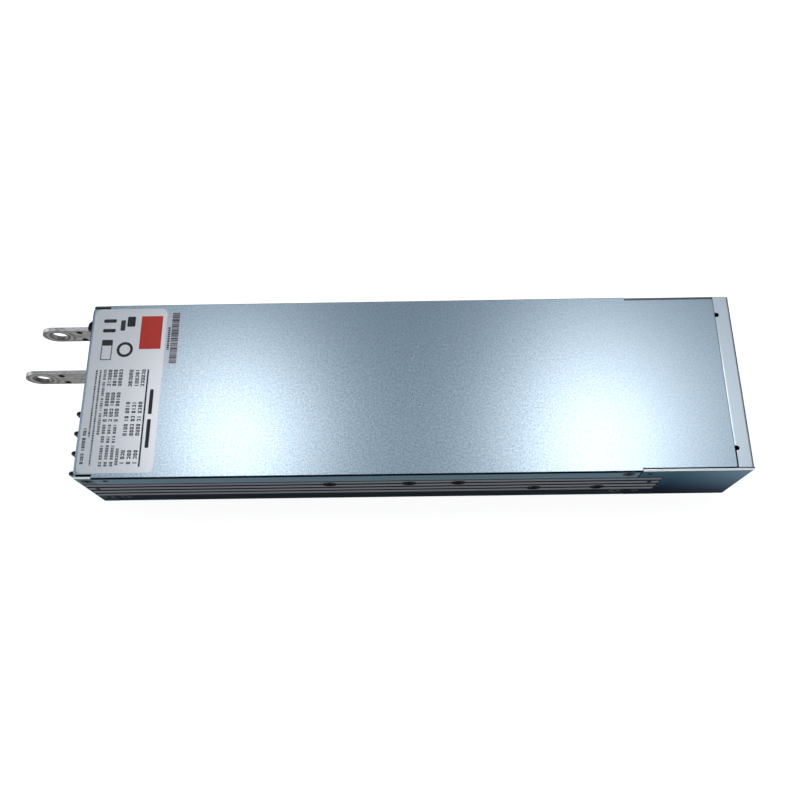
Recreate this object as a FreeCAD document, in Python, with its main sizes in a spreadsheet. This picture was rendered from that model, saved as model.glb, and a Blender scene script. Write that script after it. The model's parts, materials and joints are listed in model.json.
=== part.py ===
import FreeCAD, Part
import math
import os

import Sketcher

os.makedirs("parts", exist_ok=True)
doc = FreeCAD.newDocument("switching_power_supply")
V = FreeCAD.Vector
R = FreeCAD.Rotation

# Frame: X along the case, terminals at -X and fans at +X; Z up from the
# bottom face; Y across, the far side positive. All lengths in millimetres.

DIMS = (
    # case
    ("case_len", 300.0, "length of the case, without terminals"),
    ("case_wid", 85.0, "width of the case"),
    ("case_hgt", 41.0, "height of the case"),
    ("sheet_t", 1.0, "sheet steel"),
    ("slip", 0.1, "gap where sheets and profiles meet"),
    ("bend_out", 0.5, "outside bend radius"),
    ("lip_drop", 9.8, "height of the side lips of the top cover"),
    ("lip_rise", 10.4, "height of the side lips of the bottom cover"),
    ("lip_front", 141.9, "front end of the lips, from the middle"),
    ("lip_rear", 101.2, "rear end of the lips"),
    ("tab_len", 7.5, "front panel tabs and rear flanges"),
    ("seam_gap_front", 0.8, "gap from cover plate to the front tabs"),
    ("seam_gap_rear", 0.45, "gap from cover plate to the rear walls"),
    ("far_tab_drop", 0.6, "far front tab below the cover"),
    ("far_edge", 0.6, "rear flange short of the far side"),
    ("seam_rear", 0.18, "gap from cover plate to the rear flanges"),
    # ribbed side profiles
    ("prof_front", 148.8, "front end of the side profile"),
    ("prof_rear", 112.5, "rear end of the side profile"),
    ("prof_in", 38.2, "inner face of the side profile"),
    ("rib_base", 10.75, "underside of the lowest rib"),
    ("rib_wide", 3.2, "rib height along Z"),
    ("rib_pitch", 5.36, "rib spacing"),
    ("rib_deep", 0.8, "rib depth"),
    ("shelf_z", 4.5, "underside of the board shelf"),
    ("shelf_t", 2.0, "board shelf"),
    ("shelf_in", 33.5, "inner edge of the board shelf"),
    # screws
    ("csk_r", 2.7, "countersunk head radius"),
    ("csk_shank", 1.4, "countersunk screw shank radius"),
    ("tap_r", 1.5, "screw hole radius in the profile"),
    ("tab_screw_x", 145.2, "front tab screws, from the middle"),
    ("tab_screw_z", 36.3, "front tab screws, upper"),
    ("lid_screw_x", 96.0, "top cover screws"),
    ("lid_screw_z", 36.2, "top cover screws"),
    ("low_screw_z", 7.3, "lower row of screws"),
    ("base_screw_front", 137.0, "bottom cover screws, front"),
    ("base_screw_rear", 96.0, "bottom cover screws, rear"),
    ("tail_screw_x", 105.5, "fan housing screws"),
    ("tail_screw_z", 36.0, "fan housing screws, upper"),
    ("dimple_x", 136.8, "locating dimple in the top lip"),
    ("dimple_z", 36.4, "locating dimple in the top lip"),
    ("side_hole_r", 1.25, "tapped side mounting holes"),
    ("side_hole_front", 144.8, "side mounting hole, front"),
    ("side_hole_rear", 108.2, "side mounting hole, rear"),
    ("nut_bore_r", 1.65, "tapped bore of the bottom nuts"),
    ("nut_front", 120.0, "bottom nuts, front"),
    ("nut_rear", 80.0, "bottom nuts, rear"),
    ("nut_side", 27.5, "bottom nuts, half the spacing across"),
    # board
    ("board_t", 1.6, "main board"),
    ("board_front", 146.0, "front edge of the board"),
    ("board_rear", 112.0, "rear edge of the board"),
    ("board_half", 38.0, "half the board width"),
    # fans
    ("fan_size", 38.0, "fan frame, square"),
    ("fan_deep", 28.0, "fan frame, along X"),
    ("fan_y", 20.0, "fan axis, from the middle"),
    ("fan_z", 20.5, "fan axis height"),
    ("fan_duct_r", 17.6, "fan duct radius"),
    ("fan_tip_r", 17.0, "blade tip radius"),
    ("fan_hub_r", 9.4, "hub radius"),
    ("fan_hole", 15.5, "half the fan hole spacing"),
    ("shaft_r", 1.0, "fan shaft radius"),
    # input terminals
    ("pole_pitch", 9.6, "spacing of the barriers"),
    ("pole_first", 8.0, "first barrier, from the middle"),
    ("barrier_t", 1.8, "barrier thickness"),
    ("block_tip", 156.8, "front of the barriers"),
    ("block_face", 152.0, "face the contacts lie on"),
    ("block_rear", 140.0, "rear of the block"),
    ("block_top", 31.0, "top of the block"),
    ("pole_z", 22.4, "terminal screw height"),
    # output bars
    ("bar_t", 2.0, "bar thickness"),
    ("bar_tall", 12.0, "bar height"),
    ("bar_z", 19.8, "underside of the bars"),
    ("bar_far_y", 33.8, "near face of the far bar"),
    ("bar_near_y", 11.2, "near face of the near bar"),
    ("bar_far_tip", 179.5, "tip of the far bar"),
    ("bar_near_tip", 184.5, "tip of the near bar"),
    ("bar_root", 100.0, "inner end of both bars"),
    ("bar_hole_r", 4.0, "bolt hole in each bar"),
    ("bar_hole_back", 8.1, "bolt hole behind the tip"),
    ("bar_pin_r", 1.2, "small holes in each bar"),
    ("bar_pin_z", 4.0, "small holes, from the middle of the bar"),
    ("bar_near_pin", 166.0, "small holes in the near bar"),
    ("bar_far_pin", 160.3, "small holes in the far bar"),
)


class Num:
    """A number together with the sheet expression it comes from."""

    def __init__(self, value, text):
        self.v = float(value)
        self.t = text

    def __add__(self, other):
        other = num(other)
        return Num(self.v + other.v, "(%s + %s)" % (self.t, other.t))

    def __radd__(self, other):
        return num(other) + self

    def __sub__(self, other):
        other = num(other)
        return Num(self.v - other.v, "(%s - %s)" % (self.t, other.t))

    def __rsub__(self, other):
        return num(other) - self

    def __mul__(self, other):
        other = num(other)
        return Num(self.v * other.v, "(%s * %s)" % (self.t, other.t))

    def __rmul__(self, other):
        return num(other) * self

    def __truediv__(self, other):
        other = num(other)
        return Num(self.v / other.v, "(%s / %s)" % (self.t, other.t))

    def __neg__(self):
        return Num(-self.v, "(0 - %s)" % self.t)


def num(x):
    if isinstance(x, Num):
        return x
    return Num(x, "(%.6f)" % x)


sheet = doc.addObject("Spreadsheet::Sheet", "Dims")
D = {}
for row, (alias, value, note) in enumerate(DIMS, start=1):
    sheet.set("A%d" % row, note)
    sheet.set("B%d" % row, "%g" % value)
    sheet.setAlias("B%d" % row, alias)
    D[alias] = Num(value, "Dims." + alias)
doc.recompute()

NODES = []


def node(name, obj):
    obj.Label = name
    NODES.append((name, obj))
    return obj


def bind(obj, prop, x):
    x = num(x)
    obj.setExpression(prop, x.t)


def at(obj, x, y, z):
    bind(obj, "Placement.Base.x", x)
    bind(obj, "Placement.Base.y", y)
    bind(obj, "Placement.Base.z", z)
    return obj


def box(name, x, y, z):
    """Box from three (low, high) pairs."""
    o = doc.addObject("Part::Box", name)
    bind(o, "Length", num(x[1]) - x[0])
    bind(o, "Width", num(y[1]) - y[0])
    bind(o, "Height", num(z[1]) - z[0])
    return at(o, x[0], y[0], z[0])


TURN = {
    "+x": R(V(0, 1, 0), 90), "-x": R(V(0, 1, 0), -90),
    "+y": R(V(1, 0, 0), -90), "-y": R(V(1, 0, 0), 90),
    "+z": R(), "-z": R(V(1, 0, 0), 180),
}


def cyl(name, axis, c, r, length):
    """Cylinder from point c along the axis."""
    o = doc.addObject("Part::Cylinder", name)
    o.Placement = FreeCAD.Placement(V(), TURN[axis])
    bind(o, "Radius", r)
    bind(o, "Height", length)
    return at(o, *c)


def cone(name, axis, c, r1, r2, length):
    o = doc.addObject("Part::Cone", name)
    o.Placement = FreeCAD.Placement(V(), TURN[axis])
    bind(o, "Radius1", r1)
    bind(o, "Radius2", r2)
    bind(o, "Height", length)
    return at(o, *c)


def fuse(name, *parts):
    o = doc.addObject("Part::MultiFuse", name)
    o.Shapes = list(parts)
    o.Refine = True
    return o


def group(name, *parts):
    o = doc.addObject("Part::Compound", name)
    o.Links = list(parts)
    return o


def cut(name, base, *tools):
    o = doc.addObject("Part::Cut", name)
    o.Base = base
    o.Tool = tools[0] if len(tools) == 1 else group(name + "_tools", *tools)
    o.Refine = True
    return o


def mirrored(name, source):
    o = doc.addObject("Part::Mirroring", name)
    o.Source = source
    o.Normal = V(0, 1, 0)
    o.Base = V(0, 0, 0)
    return o


def link(name, source, x, y, z, turn=None):
    """Copy of a piece drawn at the origin."""
    o = doc.addObject("App::Link", name)
    o.LinkedObject = source
    if turn is not None:
        o.Placement = FreeCAD.Placement(V(), turn)
    return at(o, x, y, z)


def pick(shape, test):
    return [i for i, e in enumerate(shape.Edges, start=1) if test(e)]


def along(e, axis):
    b = e.BoundBox
    ls = {"x": b.XLength, "y": b.YLength, "z": b.ZLength}
    return all(ls[k] < 1e-4 for k in "xyz" if k != axis) and ls[axis] > 1e-3


def rounded(name, base, radius, test):
    """Part fillet on the edges that pass the test."""
    doc.recompute()
    o = doc.addObject("Part::Fillet", name)
    o.Base = base
    o.Edges = [(i, radius, radius) for i in pick(base.Shape, test)]
    doc.recompute()
    return o


def bevelled(name, base, size, test):
    doc.recompute()
    o = doc.addObject("Part::Chamfer", name)
    o.Base = base
    o.Edges = [(i, size, size) for i in pick(base.Shape, test)]
    doc.recompute()
    return o


# ---- sketch and body helpers -------------------------------------------


def new_body(name):
    return doc.addObject("PartDesign::Body", name)


def new_sketch(body, name, plane, off):
    sk = body.newObject("Sketcher::SketchObject", name)
    face = [f for f in body.Origin.OriginFeatures if f.Role == plane][0]
    sk.AttachmentSupport = [(face, "")]
    sk.MapMode = "FlatFace"
    bind(sk, "AttachmentOffset.Base.z", off)
    return sk


def pin_point(sk, geo, pos, x, y):
    """Hold a point at (x, y) of the sketch, both from the sheet."""
    for kind, q in (("DistanceX", num(x)), ("DistanceY", num(y))):
        if abs(q.v) < 1e-9:
            other = -2 if kind == "DistanceX" else -1
            sk.addConstraint(Sketcher.Constraint("PointOnObject", geo, pos, other))
        else:
            n = sk.addConstraint(Sketcher.Constraint(kind, geo, pos, q.v))
            sk.setExpression("Constraints[%d]" % n, q.t)


def outline(body, name, plane, off, pts):
    """Closed outline through the points."""
    sk = new_sketch(body, name, plane, off)
    pts = [(num(a), num(b)) for a, b in pts]
    k = len(pts)
    for i in range(k):
        a, b = pts[i], pts[(i + 1) % k]
        sk.addGeometry(Part.LineSegment(V(a[0].v, a[1].v, 0), V(b[0].v, b[1].v, 0)))
    for i in range(k):
        sk.addConstraint(Sketcher.Constraint("Coincident", i, 2, (i + 1) % k, 1))
    for i in range(k):
        pin_point(sk, i, 1, *pts[i])
    return sk


def rings(body, name, plane, off, r, centres):
    """Circles of one radius at the given centres."""
    sk = new_sketch(body, name, plane, off)
    r = num(r)
    for i, (a, b) in enumerate(centres):
        a, b = num(a), num(b)
        sk.addGeometry(Part.Circle(V(a.v, b.v, 0), V(0, 0, 1), r.v))
        pin_point(sk, i, 3, a, b)
        n = sk.addConstraint(Sketcher.Constraint("Radius", i, r.v))
        sk.setExpression("Constraints[%d]" % n, r.t)
    return sk


def pad(body, name, sk, length):
    p = body.newObject("PartDesign::Pad", name)
    p.Profile = sk
    bind(p, "Length", length)
    sk.Visibility = False
    doc.recompute()
    return p


def pocket(body, name, sk, length, turned=False):
    before = body.Shape.Volume
    p = body.newObject("PartDesign::Pocket", name)
    p.Profile = sk
    bind(p, "Length", length)
    p.Reversed = turned
    doc.recompute()
    if not body.Shape.Volume < before - 1e-6:
        raise RuntimeError(name + " cuts nothing")
    return p


def dress(body, kind, name, size, test):
    """Fillet or chamfer on the edges of the body's tip."""
    doc.recompute()
    tip = body.Tip
    edges = ["Edge%d" % i for i in pick(tip.Shape, test)]
    if not edges:
        raise RuntimeError(name + " finds no edge")
    f = body.newObject("PartDesign::" + kind, name)
    f.Base = (tip, edges)
    bind(f, "Radius" if kind == "Fillet" else "Size", size)
    doc.recompute()
    return f


def circle_edge(e, r, axis, level):
    """A full circle of radius r lying in the plane axis = level."""
    if not isinstance(e.Curve, Part.Circle) or abs(e.Curve.Radius - r) > 1e-4:
        return False
    return abs(getattr(e.Curve.Center, axis) - level) < 1e-4


# ---- lengths used in many places ----------------------------------------

half_len = D["case_len"] / 2
half_wid = D["case_wid"] / 2
top = D["case_hgt"]
sheet_t = D["sheet_t"]
slip = D["slip"]
lip_low = top - D["lip_drop"]
lip_high = D["lip_rise"]
front_seam = -D["lip_front"]
rear_seam = half_len - D["tab_len"] - slip
wall_in = half_wid - sheet_t
board_z = D["shelf_z"] + D["shelf_t"]
deck = board_z + D["board_t"]
fan_x0 = half_len - sheet_t - D["fan_deep"]
rear_in = half_len - sheet_t


# ---- top and bottom covers ----------------------------------------------


def cover(name, plate_low, lip_a, lip_b, flat, holes):
    """Folded cover: a plate with a lip along each side.

    lip_a is the free edge of the lips, lip_b the plate's outer face and
    flat the plate's inner face."""
    b = new_body(name)
    y_front = wall_in - D["seam_gap_front"]
    y_rear = wall_in - D["seam_gap_rear"]
    lip_rear = D["lip_rear"]
    sk = outline(b, name + "_plan", "XY_Plane", plate_low, [
        (-half_len, -y_front), (front_seam, -y_front), (front_seam, -y_rear),
        (rear_seam, -y_rear), (rear_seam, y_rear), (front_seam, y_rear),
        (front_seam, y_front), (-half_len, y_front)])
    pad(b, name + "_plate", sk, sheet_t)
    dress(b, "Fillet", name + "_front_corners", 1.2,
          lambda e: along(e, "z") and abs(e.CenterOfMass.x + 150.0) < 1e-3)
    dress(b, "Fillet", name + "_rear_corners", 1.0,
          lambda e: along(e, "z") and abs(e.CenterOfMass.x - rear_seam.v) < 1e-3)
    sk = outline(b, name + "_section", "YZ_Plane", front_seam, [
        (-half_wid, lip_a), (-wall_in, lip_a), (-wall_in, flat), (wall_in, flat),
        (wall_in, lip_a), (half_wid, lip_a), (half_wid, lip_b), (-half_wid, lip_b)])
    pad(b, name + "_fold", sk, lip_rear - front_seam)
    dress(b, "Fillet", name + "_bend", D["bend_out"],
          lambda e: along(e, "x") and abs(abs(e.CenterOfMass.y) - 42.5) < 1e-3
          and abs(e.CenterOfMass.z - lip_b.v) < 1e-3 and e.Length > 200)
    sk = rings(b, name + "_screw_plan", "XZ_Plane", half_wid + 1, D["csk_r"] - 0.85, holes)
    pocket(b, name + "_screw_holes", sk, D["case_wid"] + 2)
    dress(b, "Chamfer", name + "_sinks", sheet_t - 0.02,
          lambda e: circle_edge(e, D["csk_r"].v - 0.85, "y", 42.5)
          or circle_edge(e, D["csk_r"].v - 0.85, "y", -42.5))
    return b


lid = cover("top_cover_fold", top - sheet_t, lip_low, top, top - sheet_t,
            [(D["lid_screw_x"], D["lid_screw_z"])])
sk = rings(lid, "top_cover_dimple_plan", "XZ_Plane", half_wid + 1, 1.3,
           [(-D["dimple_x"], D["dimple_z"])])
pocket(lid, "top_cover_dimples", sk, D["case_wid"] + 2)
node("top_cover", lid)

base_zero = num(0)
tray = cover("bottom_cover_fold", base_zero, lip_high, base_zero, sheet_t,
             [(-D["base_screw_front"], D["low_screw_z"]),
              (D["base_screw_rear"], D["low_screw_z"])])
sk = rings(tray, "bottom_cover_nut_plan", "XY_Plane", num(-1), D["nut_bore_r"] + 1.0, [
    (x, y) for x in (-D["nut_front"], D["nut_rear"])
    for y in (-D["nut_side"], D["nut_side"])])
pocket(tray, "bottom_cover_nut_holes", sk, 3, turned=True)
node("bottom_cover", tray)

# ---- ribbed side profiles -------------------------------------------------

prof = new_body("side_profile")
y_seat = -(wall_in - slip)
y_floor = -(half_wid - D["rib_deep"])
y_in = -D["prof_in"]
low = sheet_t + slip
high = top - sheet_t - slip
pts = [(y_seat, low), (y_seat, lip_high + slip), (y_floor, lip_high + slip)]
for i in range(4):
    z0 = D["rib_base"] + D["rib_pitch"] * i
    z1 = z0 + D["rib_wide"]
    pts += [(y_floor, z0), (-half_wid, z0), (-half_wid, z1), (y_floor, z1)]
pts += [(y_floor, lip_low - slip), (y_seat, lip_low - slip), (y_seat, high),
        (y_in + 2.7, high), (y_in + 2.7, high - 1.5), (y_in, high - 1.5),
        (y_in, board_z), (-D["shelf_in"], board_z), (-D["shelf_in"], D["shelf_z"]),
        (y_in, D["shelf_z"]), (y_in, low)]
sk = outline(prof, "side_profile_section", "YZ_Plane", -D["prof_front"], pts)
pad(prof, "side_profile_length", sk, D["prof_front"] + D["prof_rear"])

SCREWS = {
    "front_panel_screws": [(-D["tab_screw_x"], D["tab_screw_z"]),
                           (-D["tab_screw_x"], D["low_screw_z"])],
    "cover_screws": [(D["lid_screw_x"], D["lid_screw_z"])],
    "bottom_cover_screws": [(-D["base_screw_front"], D["low_screw_z"]),
                            (D["base_screw_rear"], D["low_screw_z"])],
    "fan_housing_screws": [(D["tail_screw_x"], D["tail_screw_z"]),
                           (D["tail_screw_x"], D["low_screw_z"])],
}
RIB_MID = [D["rib_base"] + D["rib_pitch"] * i + D["rib_wide"] / 2 for i in range(4)]
GROOVE = [D["rib_base"] + D["rib_pitch"] * i + (D["rib_wide"] + D["rib_pitch"]) / 2 for i in range(3)]
DEVICES = [(-37.7, 2), (-1.4, 2), (21.0, 2), (56.6, 0), (86.1, 0)]
wall = D["prof_in"]
sk = rings(prof, "side_profile_screw_plan", "XZ_Plane", half_wid, D["tap_r"],
           [p for n in ("front_panel_screws", "cover_screws", "bottom_cover_screws")
            for p in SCREWS[n]])
pocket(prof, "side_profile_screw_holes", sk, half_wid - wall)
dress(prof, "Chamfer", "side_profile_screw_leads", 0.4,
      lambda e: circle_edge(e, D["tap_r"].v, "y", y_seat.v))
sk = rings(prof, "side_profile_tail_plan", "XZ_Plane", half_wid, 1.0,
           SCREWS["fan_housing_screws"])
pocket(prof, "side_profile_tail_holes", sk, half_wid - wall)
sk = rings(prof, "side_profile_device_plan", "XZ_Plane", half_wid, D["tap_r"],
           [(num(x), GROOVE[k]) for x, k in DEVICES])
pocket(prof, "side_profile_device_holes", sk, half_wid - wall)
sk = rings(prof, "side_profile_spot_plan", "XZ_Plane", half_wid + 0.5, 3.1,
           [(num(x), GROOVE[k]) for x, k in DEVICES])
pocket(prof, "side_profile_spot_faces", sk, 1.9)
sk = rings(prof, "side_profile_mount_plan", "XZ_Plane", half_wid + 0.5, D["side_hole_r"],
           [(-D["side_hole_front"], RIB_MID[2]), (D["side_hole_rear"], RIB_MID[2])])
pocket(prof, "side_profile_mount_holes", sk, half_wid + 0.5 - wall)
sk = rings(prof, "side_profile_dimple_plan", "XZ_Plane", half_wid, 1.3,
           [(-D["dimple_x"], D["dimple_z"])])
pocket(prof, "side_profile_dimples", sk, half_wid - wall)
BOARD_SCREWS = (-128.0, -66.0, 38.0, 104.0)
sk = rings(prof, "side_profile_board_plan", "XY_Plane", board_z, 1.25,
           [(num(x), num(-35.4)) for x in BOARD_SCREWS])
pocket(prof, "side_profile_board_holes", sk, D["shelf_t"] + 0.5)
node("side_heatsink_near", prof)
node("side_heatsink_far", mirrored("side_profile_far", prof))

# ---- screws ---------------------------------------------------------------


def csk_screw(name, head_r, shank_r, length, cross):
    """Countersunk screw at the origin, its head facing -Z."""
    head = cone(name + "_head", "+z", (0, 0, 0.05), head_r, shank_r, num(head_r) - shank_r)
    shank = cyl(name + "_shank", "+z", (0, 0, 0.3), shank_r, num(length) - 0.3)
    w = 0.14 * cross
    slots = fuse(name + "_cross",
                 box(name + "_cross_a", (-cross / 2, cross / 2), (-w, w), (-1, 0.75)),
                 box(name + "_cross_b", (-w, w), (-cross / 2, cross / 2), (-1, 0.75)))
    return cut(name, fuse(name + "_solid", head, shank), slots)


def pan_screw(name, head_r, head_t, shank_r, length, cross):
    """Pan head screw at the origin: the head on -Z, the shank along +Z."""
    head = cyl(name + "_head", "-z", (0, 0, 0), head_r, head_t)
    head = rounded(name + "_dome", head, 0.45,
                   lambda e: isinstance(e.Curve, Part.Circle)
                   and e.CenterOfMass.z < -0.5 * num(head_t).v)
    shank = cyl(name + "_shank", "+z", (0, 0, -0.2), shank_r, num(length) + 0.2)
    w = 0.13 * cross
    d = num(head_t).v
    slots = fuse(name + "_cross",
                 box(name + "_cross_a", (-cross / 2, cross / 2), (-w, w), (-d - 1, -d + 0.8)),
                 box(name + "_cross_b", (-w, w), (-cross / 2, cross / 2), (-d - 1, -d + 0.8)))
    return cut(name, fuse(name + "_solid", head, shank), slots)


IN_Y = R(V(1, 0, 0), -90)      # local +Z to +Y
OUT_Y = R(V(1, 0, 0), 90)      # local +Z to -Y
IN_X = R(V(0, 1, 0), -90)      # local +Z to -X
DOWN = R(V(1, 0, 0), 180)      # local +Z to -Z

csk = csk_screw("csk_screw", D["csk_r"], D["csk_shank"], 3.9, 2.9)
csk_small = csk_screw("csk_small_screw", 1.7, 0.95, 3.9, 1.9)
for name, places in SCREWS.items():
    proto = csk_small if name == "fan_housing_screws" else csk
    items = []
    for i, (x, z) in enumerate(places):
        items.append(link("%s_near_%d" % (name, i), proto, x, -half_wid, z, IN_Y))
        items.append(link("%s_far_%d" % (name, i), proto, x, half_wid, z, OUT_Y))
    node(name, group(name + "_set", *items))

device_pan = pan_screw("device_pan_screw", 2.75, 1.2, 1.4, 10.8, 2.8)
spot = half_wid - 1.4
items = []
for i, (x, k) in enumerate(DEVICES):
    items.append(link("device_screw_near_%d" % i, device_pan, x, -spot, GROOVE[k], IN_Y))
    items.append(link("device_screw_far_%d" % i, device_pan, x, spot, GROOVE[k], OUT_Y))
node("device_screws", group("device_screw_set", *items))

nut_blank = doc.addObject("Part::Prism", "device_nut_blank")
nut_blank.Polygon = 6
bind(nut_blank, "Circumradius", 3.1)
bind(nut_blank, "Height", 2.2)
device_nut = cut("device_nut", nut_blank, cyl("device_nut_bore", "+z", (0, 0, -1), 1.45, 5))
items = []
for i, (x, k) in enumerate(DEVICES):
    items.append(link("device_nut_near_%d" % i, device_nut, x, -32.9, GROOVE[k], IN_Y))
    items.append(link("device_nut_far_%d" % i, device_nut, x, 32.9, GROOVE[k], OUT_Y))
node("device_nuts", group("device_nut_set", *items))

board_pan = pan_screw("board_pan_screw", 2.5, 1.7, 1.2, 3.9, 2.6)
items = [link("board_screw_%d_%d" % (i, j), board_pan, x, y, deck, DOWN)
         for i, x in enumerate(BOARD_SCREWS) for j, y in enumerate((-35.4, 35.4))]
node("board_screws", group("board_screw_set", *items))

mount_nut = cut("mount_nut",
                fuse("mount_nut_solid",
                     cyl("mount_nut_flange", "+z", (0, 0, sheet_t), 3.4, 2.0),
                     cyl("mount_nut_shank", "+z", (0, 0, 0), D["nut_bore_r"] + 0.95, sheet_t + 0.5)),
                cyl("mount_nut_bore", "+z", (0, 0, -1), D["nut_bore_r"], 6))
items = [link("mount_nut_%d_%d" % (i, j), mount_nut, x, y, 0)
         for i, x in enumerate((-D["nut_front"], D["nut_rear"]))
         for j, y in enumerate((-D["nut_side"], D["nut_side"]))]
node("mount_nuts", group("mount_nut_set", *items))

# ---- front panel ----------------------------------------------------------

panel = new_body("front_panel_sheet")
pz0, pz1 = sheet_t + slip, top - sheet_t - slip
sk = outline(panel, "front_panel_outline", "YZ_Plane", -half_len, [
    (-half_wid, pz0), (half_wid, pz0), (half_wid, pz1), (-half_wid, pz1)])
pad(panel, "front_panel_plate", sk, sheet_t)
for tag, z0, z1 in (("upper", lip_low, top - slip), ("lower", slip, lip_high)):
    for side, ya, yb in (("near", -half_wid, -wall_in), ("far", wall_in, half_wid)):
        sk = outline(panel, "front_panel_%s_%s" % (tag, side), "XY_Plane", z0, [
            (-half_len, ya), (front_seam - slip, ya), (front_seam - slip, yb), (-half_len, yb)])
        drop = D["far_tab_drop"] if (tag, side) == ("upper", "far") else 0
        pad(panel, "front_panel_tab_%s_%s" % (tag, side), sk, z1 - z0 - drop)
dress(panel, "Fillet", "front_panel_bends", 0.8,
      lambda e: along(e, "z") and abs(e.CenterOfMass.x + 150) < 1e-3
      and abs(abs(e.CenterOfMass.y) - 42.5) < 1e-3)
sk = rings(panel, "front_panel_screw_plan", "XZ_Plane", half_wid + 1, D["csk_r"] - 0.85,
           SCREWS["front_panel_screws"])
pocket(panel, "front_panel_screw_holes", sk, D["case_wid"] + 2)
dress(panel, "Chamfer", "front_panel_sinks", sheet_t - 0.02,
      lambda e: circle_edge(e, D["csk_r"].v - 0.85, "y", 42.5)
      or circle_edge(e, D["csk_r"].v - 0.85, "y", -42.5))
block_y1 = -D["pole_first"] + D["barrier_t"] / 2
block_y0 = block_y1 - D["pole_pitch"] * 3 - D["barrier_t"]
bar_top = D["bar_z"] + D["bar_tall"]
WINDOWS = {
    "terminal": (block_y0 - 0.3, block_y1 + 0.3, deck - 0.3, D["block_top"] + 0.3),
    "near_bar": (D["bar_near_y"] - 1.8, D["bar_near_y"] + D["bar_t"] + 1.4,
                 D["bar_z"] - 1.4, bar_top + 1.4),
    "far_bar": (D["bar_far_y"] - 1.6, num(38.4), D["bar_z"] - 1.4, bar_top + 3.0),
    "connector": (num(15.2), num(30.8), num(8.8), num(16.2)),
}
for tag, (ya, yb, za, zb) in WINDOWS.items():
    sk = outline(panel, "front_panel_%s_plan" % tag, "YZ_Plane", -half_len + 2,
                 [(ya, za), (yb, za), (yb, zb), (ya, zb)])
    pocket(panel, "front_panel_%s_window" % tag, sk, 3)
sk = rings(panel, "front_panel_trim_plan", "YZ_Plane", -half_len + 2, 2.3, [(3.5, 14.0)])
pocket(panel, "front_panel_trim_hole", sk, 3)
sk = rings(panel, "front_panel_lamp_plan", "YZ_Plane", -half_len + 2, 1.65, [(-3.0, 14.0)])
pocket(panel, "front_panel_lamp_hole", sk, 3)
VENTS = []
for ya, yb, za, zb in ((-4.6, 6.6, 20.4, 36.6), (16.4, 29.8, 20.4, 36.6), (-37.0, -9.0, 34.2, 37.8)):
    row = 0
    z = za
    while z <= zb + 1e-6:
        y = ya + (2.1 if row % 2 else 0.0)
        while y <= yb + 1e-6:
            VENTS.append((num(y), num(z)))
            y += 4.2
        z += 3.6
        row += 1
sk = rings(panel, "front_panel_vent_plan", "YZ_Plane", -half_len + 2, 1.5, VENTS)
pocket(panel, "front_panel_vents", sk, 3)
node("front_panel", panel)

# ---- fan housing ----------------------------------------------------------

y_rear = wall_in - D["seam_gap_rear"]
middle = fuse("fan_housing_middle",
              box("fan_housing_back", (rear_in, half_len), (-y_rear, y_rear), (0, top)),
              box("fan_housing_top", (rear_seam + D["seam_rear"], half_len), (-y_rear, half_wid - D["far_edge"]), (top - sheet_t, top)),
              box("fan_housing_base", (rear_seam + D["seam_rear"], half_len), (-y_rear, y_rear), (0, sheet_t)))
middle = rounded("fan_housing_flange_bends", middle, 1.2,
                 lambda e: along(e, "y") and abs(e.CenterOfMass.x - 150) < 1e-3
                 and (abs(e.CenterOfMass.z - 41) < 1e-3 or abs(e.CenterOfMass.z) < 1e-3))
wall_front = D["prof_rear"] + 0.2
parts = [middle]
for side, ya, yb, yc in (("near", -half_wid, -wall_in, -y_rear), ("far", half_wid, wall_in, y_rear)):
    lo, hi = (ya, yb) if side == "near" else (yb, ya)
    blo, bhi = (ya, yc) if side == "near" else (yc, ya)
    wall_top = top - slip if side == "near" else top - sheet_t
    w = fuse("fan_housing_side_" + side,
             box("fan_housing_wall_" + side, (wall_front, half_len), (lo, hi), (slip, wall_top)),
             box("fan_housing_corner_" + side, (rear_in, half_len), (blo, bhi), (slip, wall_top)),
             box("fan_housing_tab_high_" + side, (D["lip_rear"] + slip, wall_front + 1), (lo, hi), (lip_low, wall_top)),
             box("fan_housing_tab_low_" + side, (D["lip_rear"] + slip, wall_front + 1), (lo, hi), (slip, lip_high)))
    parts.append(rounded("fan_housing_bend_" + side, w, 1.2,
                         lambda e: along(e, "z") and abs(e.CenterOfMass.x - 150) < 1e-3
                         and abs(abs(e.CenterOfMass.y) - 42.5) < 1e-3 and e.Length > 20))
shell = fuse("fan_housing_blank", *parts)
tools = []
for r1, r2 in ((7.4, 9.8), (11.2, 13.6), (15.0, 17.4)):
    tools.append(cut("guard_ring_%d" % int(r2),
                     cyl("guard_ring_%d_out" % int(r2), "+x", (-2, 0, 0), r2, 4),
                     cyl("guard_ring_%d_in" % int(r2), "+x", (-3, 0, 0), r1, 6)))
spokes = fuse("guard_spokes", box("guard_spoke_a", (-4, 4), (-20, 20), (-1.1, 1.1)),
              box("guard_spoke_b", (-4, 4), (-1.1, 1.1), (-20, 20)))
guard = cut("guard_slots", group("guard_rings", *tools), spokes)
cutters = []
for side, s in (("near", -1), ("far", 1)):
    fy = D["fan_y"] * s
    cutters.append(link("guard_slots_" + side, guard, half_len - sheet_t / 2, fy, D["fan_z"]))
    for i in (-1, 1):
        for j in (-1, 1):
            cutters.append(cone("fan_hole_%s_%d_%d" % (side, i + 1, j + 1), "+x",
                                (rear_in - 0.01, fy + D["fan_hole"] * i, D["fan_z"] + D["fan_hole"] * j),
                                1.86, D["csk_r"] + 0.18, sheet_t + 0.02))
for tag, x, z in (("high", D["tail_screw_x"], D["tail_screw_z"]), ("low", D["tail_screw_x"], D["low_screw_z"])):
    cutters.append(cone("tail_hole_near_" + tag, "+y", (x, -half_wid - 0.01, z), 1.82, 1.0, sheet_t + 0.02))
    cutters.append(cone("tail_hole_far_" + tag, "-y", (x, half_wid + 0.01, z), 1.82, 1.0, sheet_t + 0.02))
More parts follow.
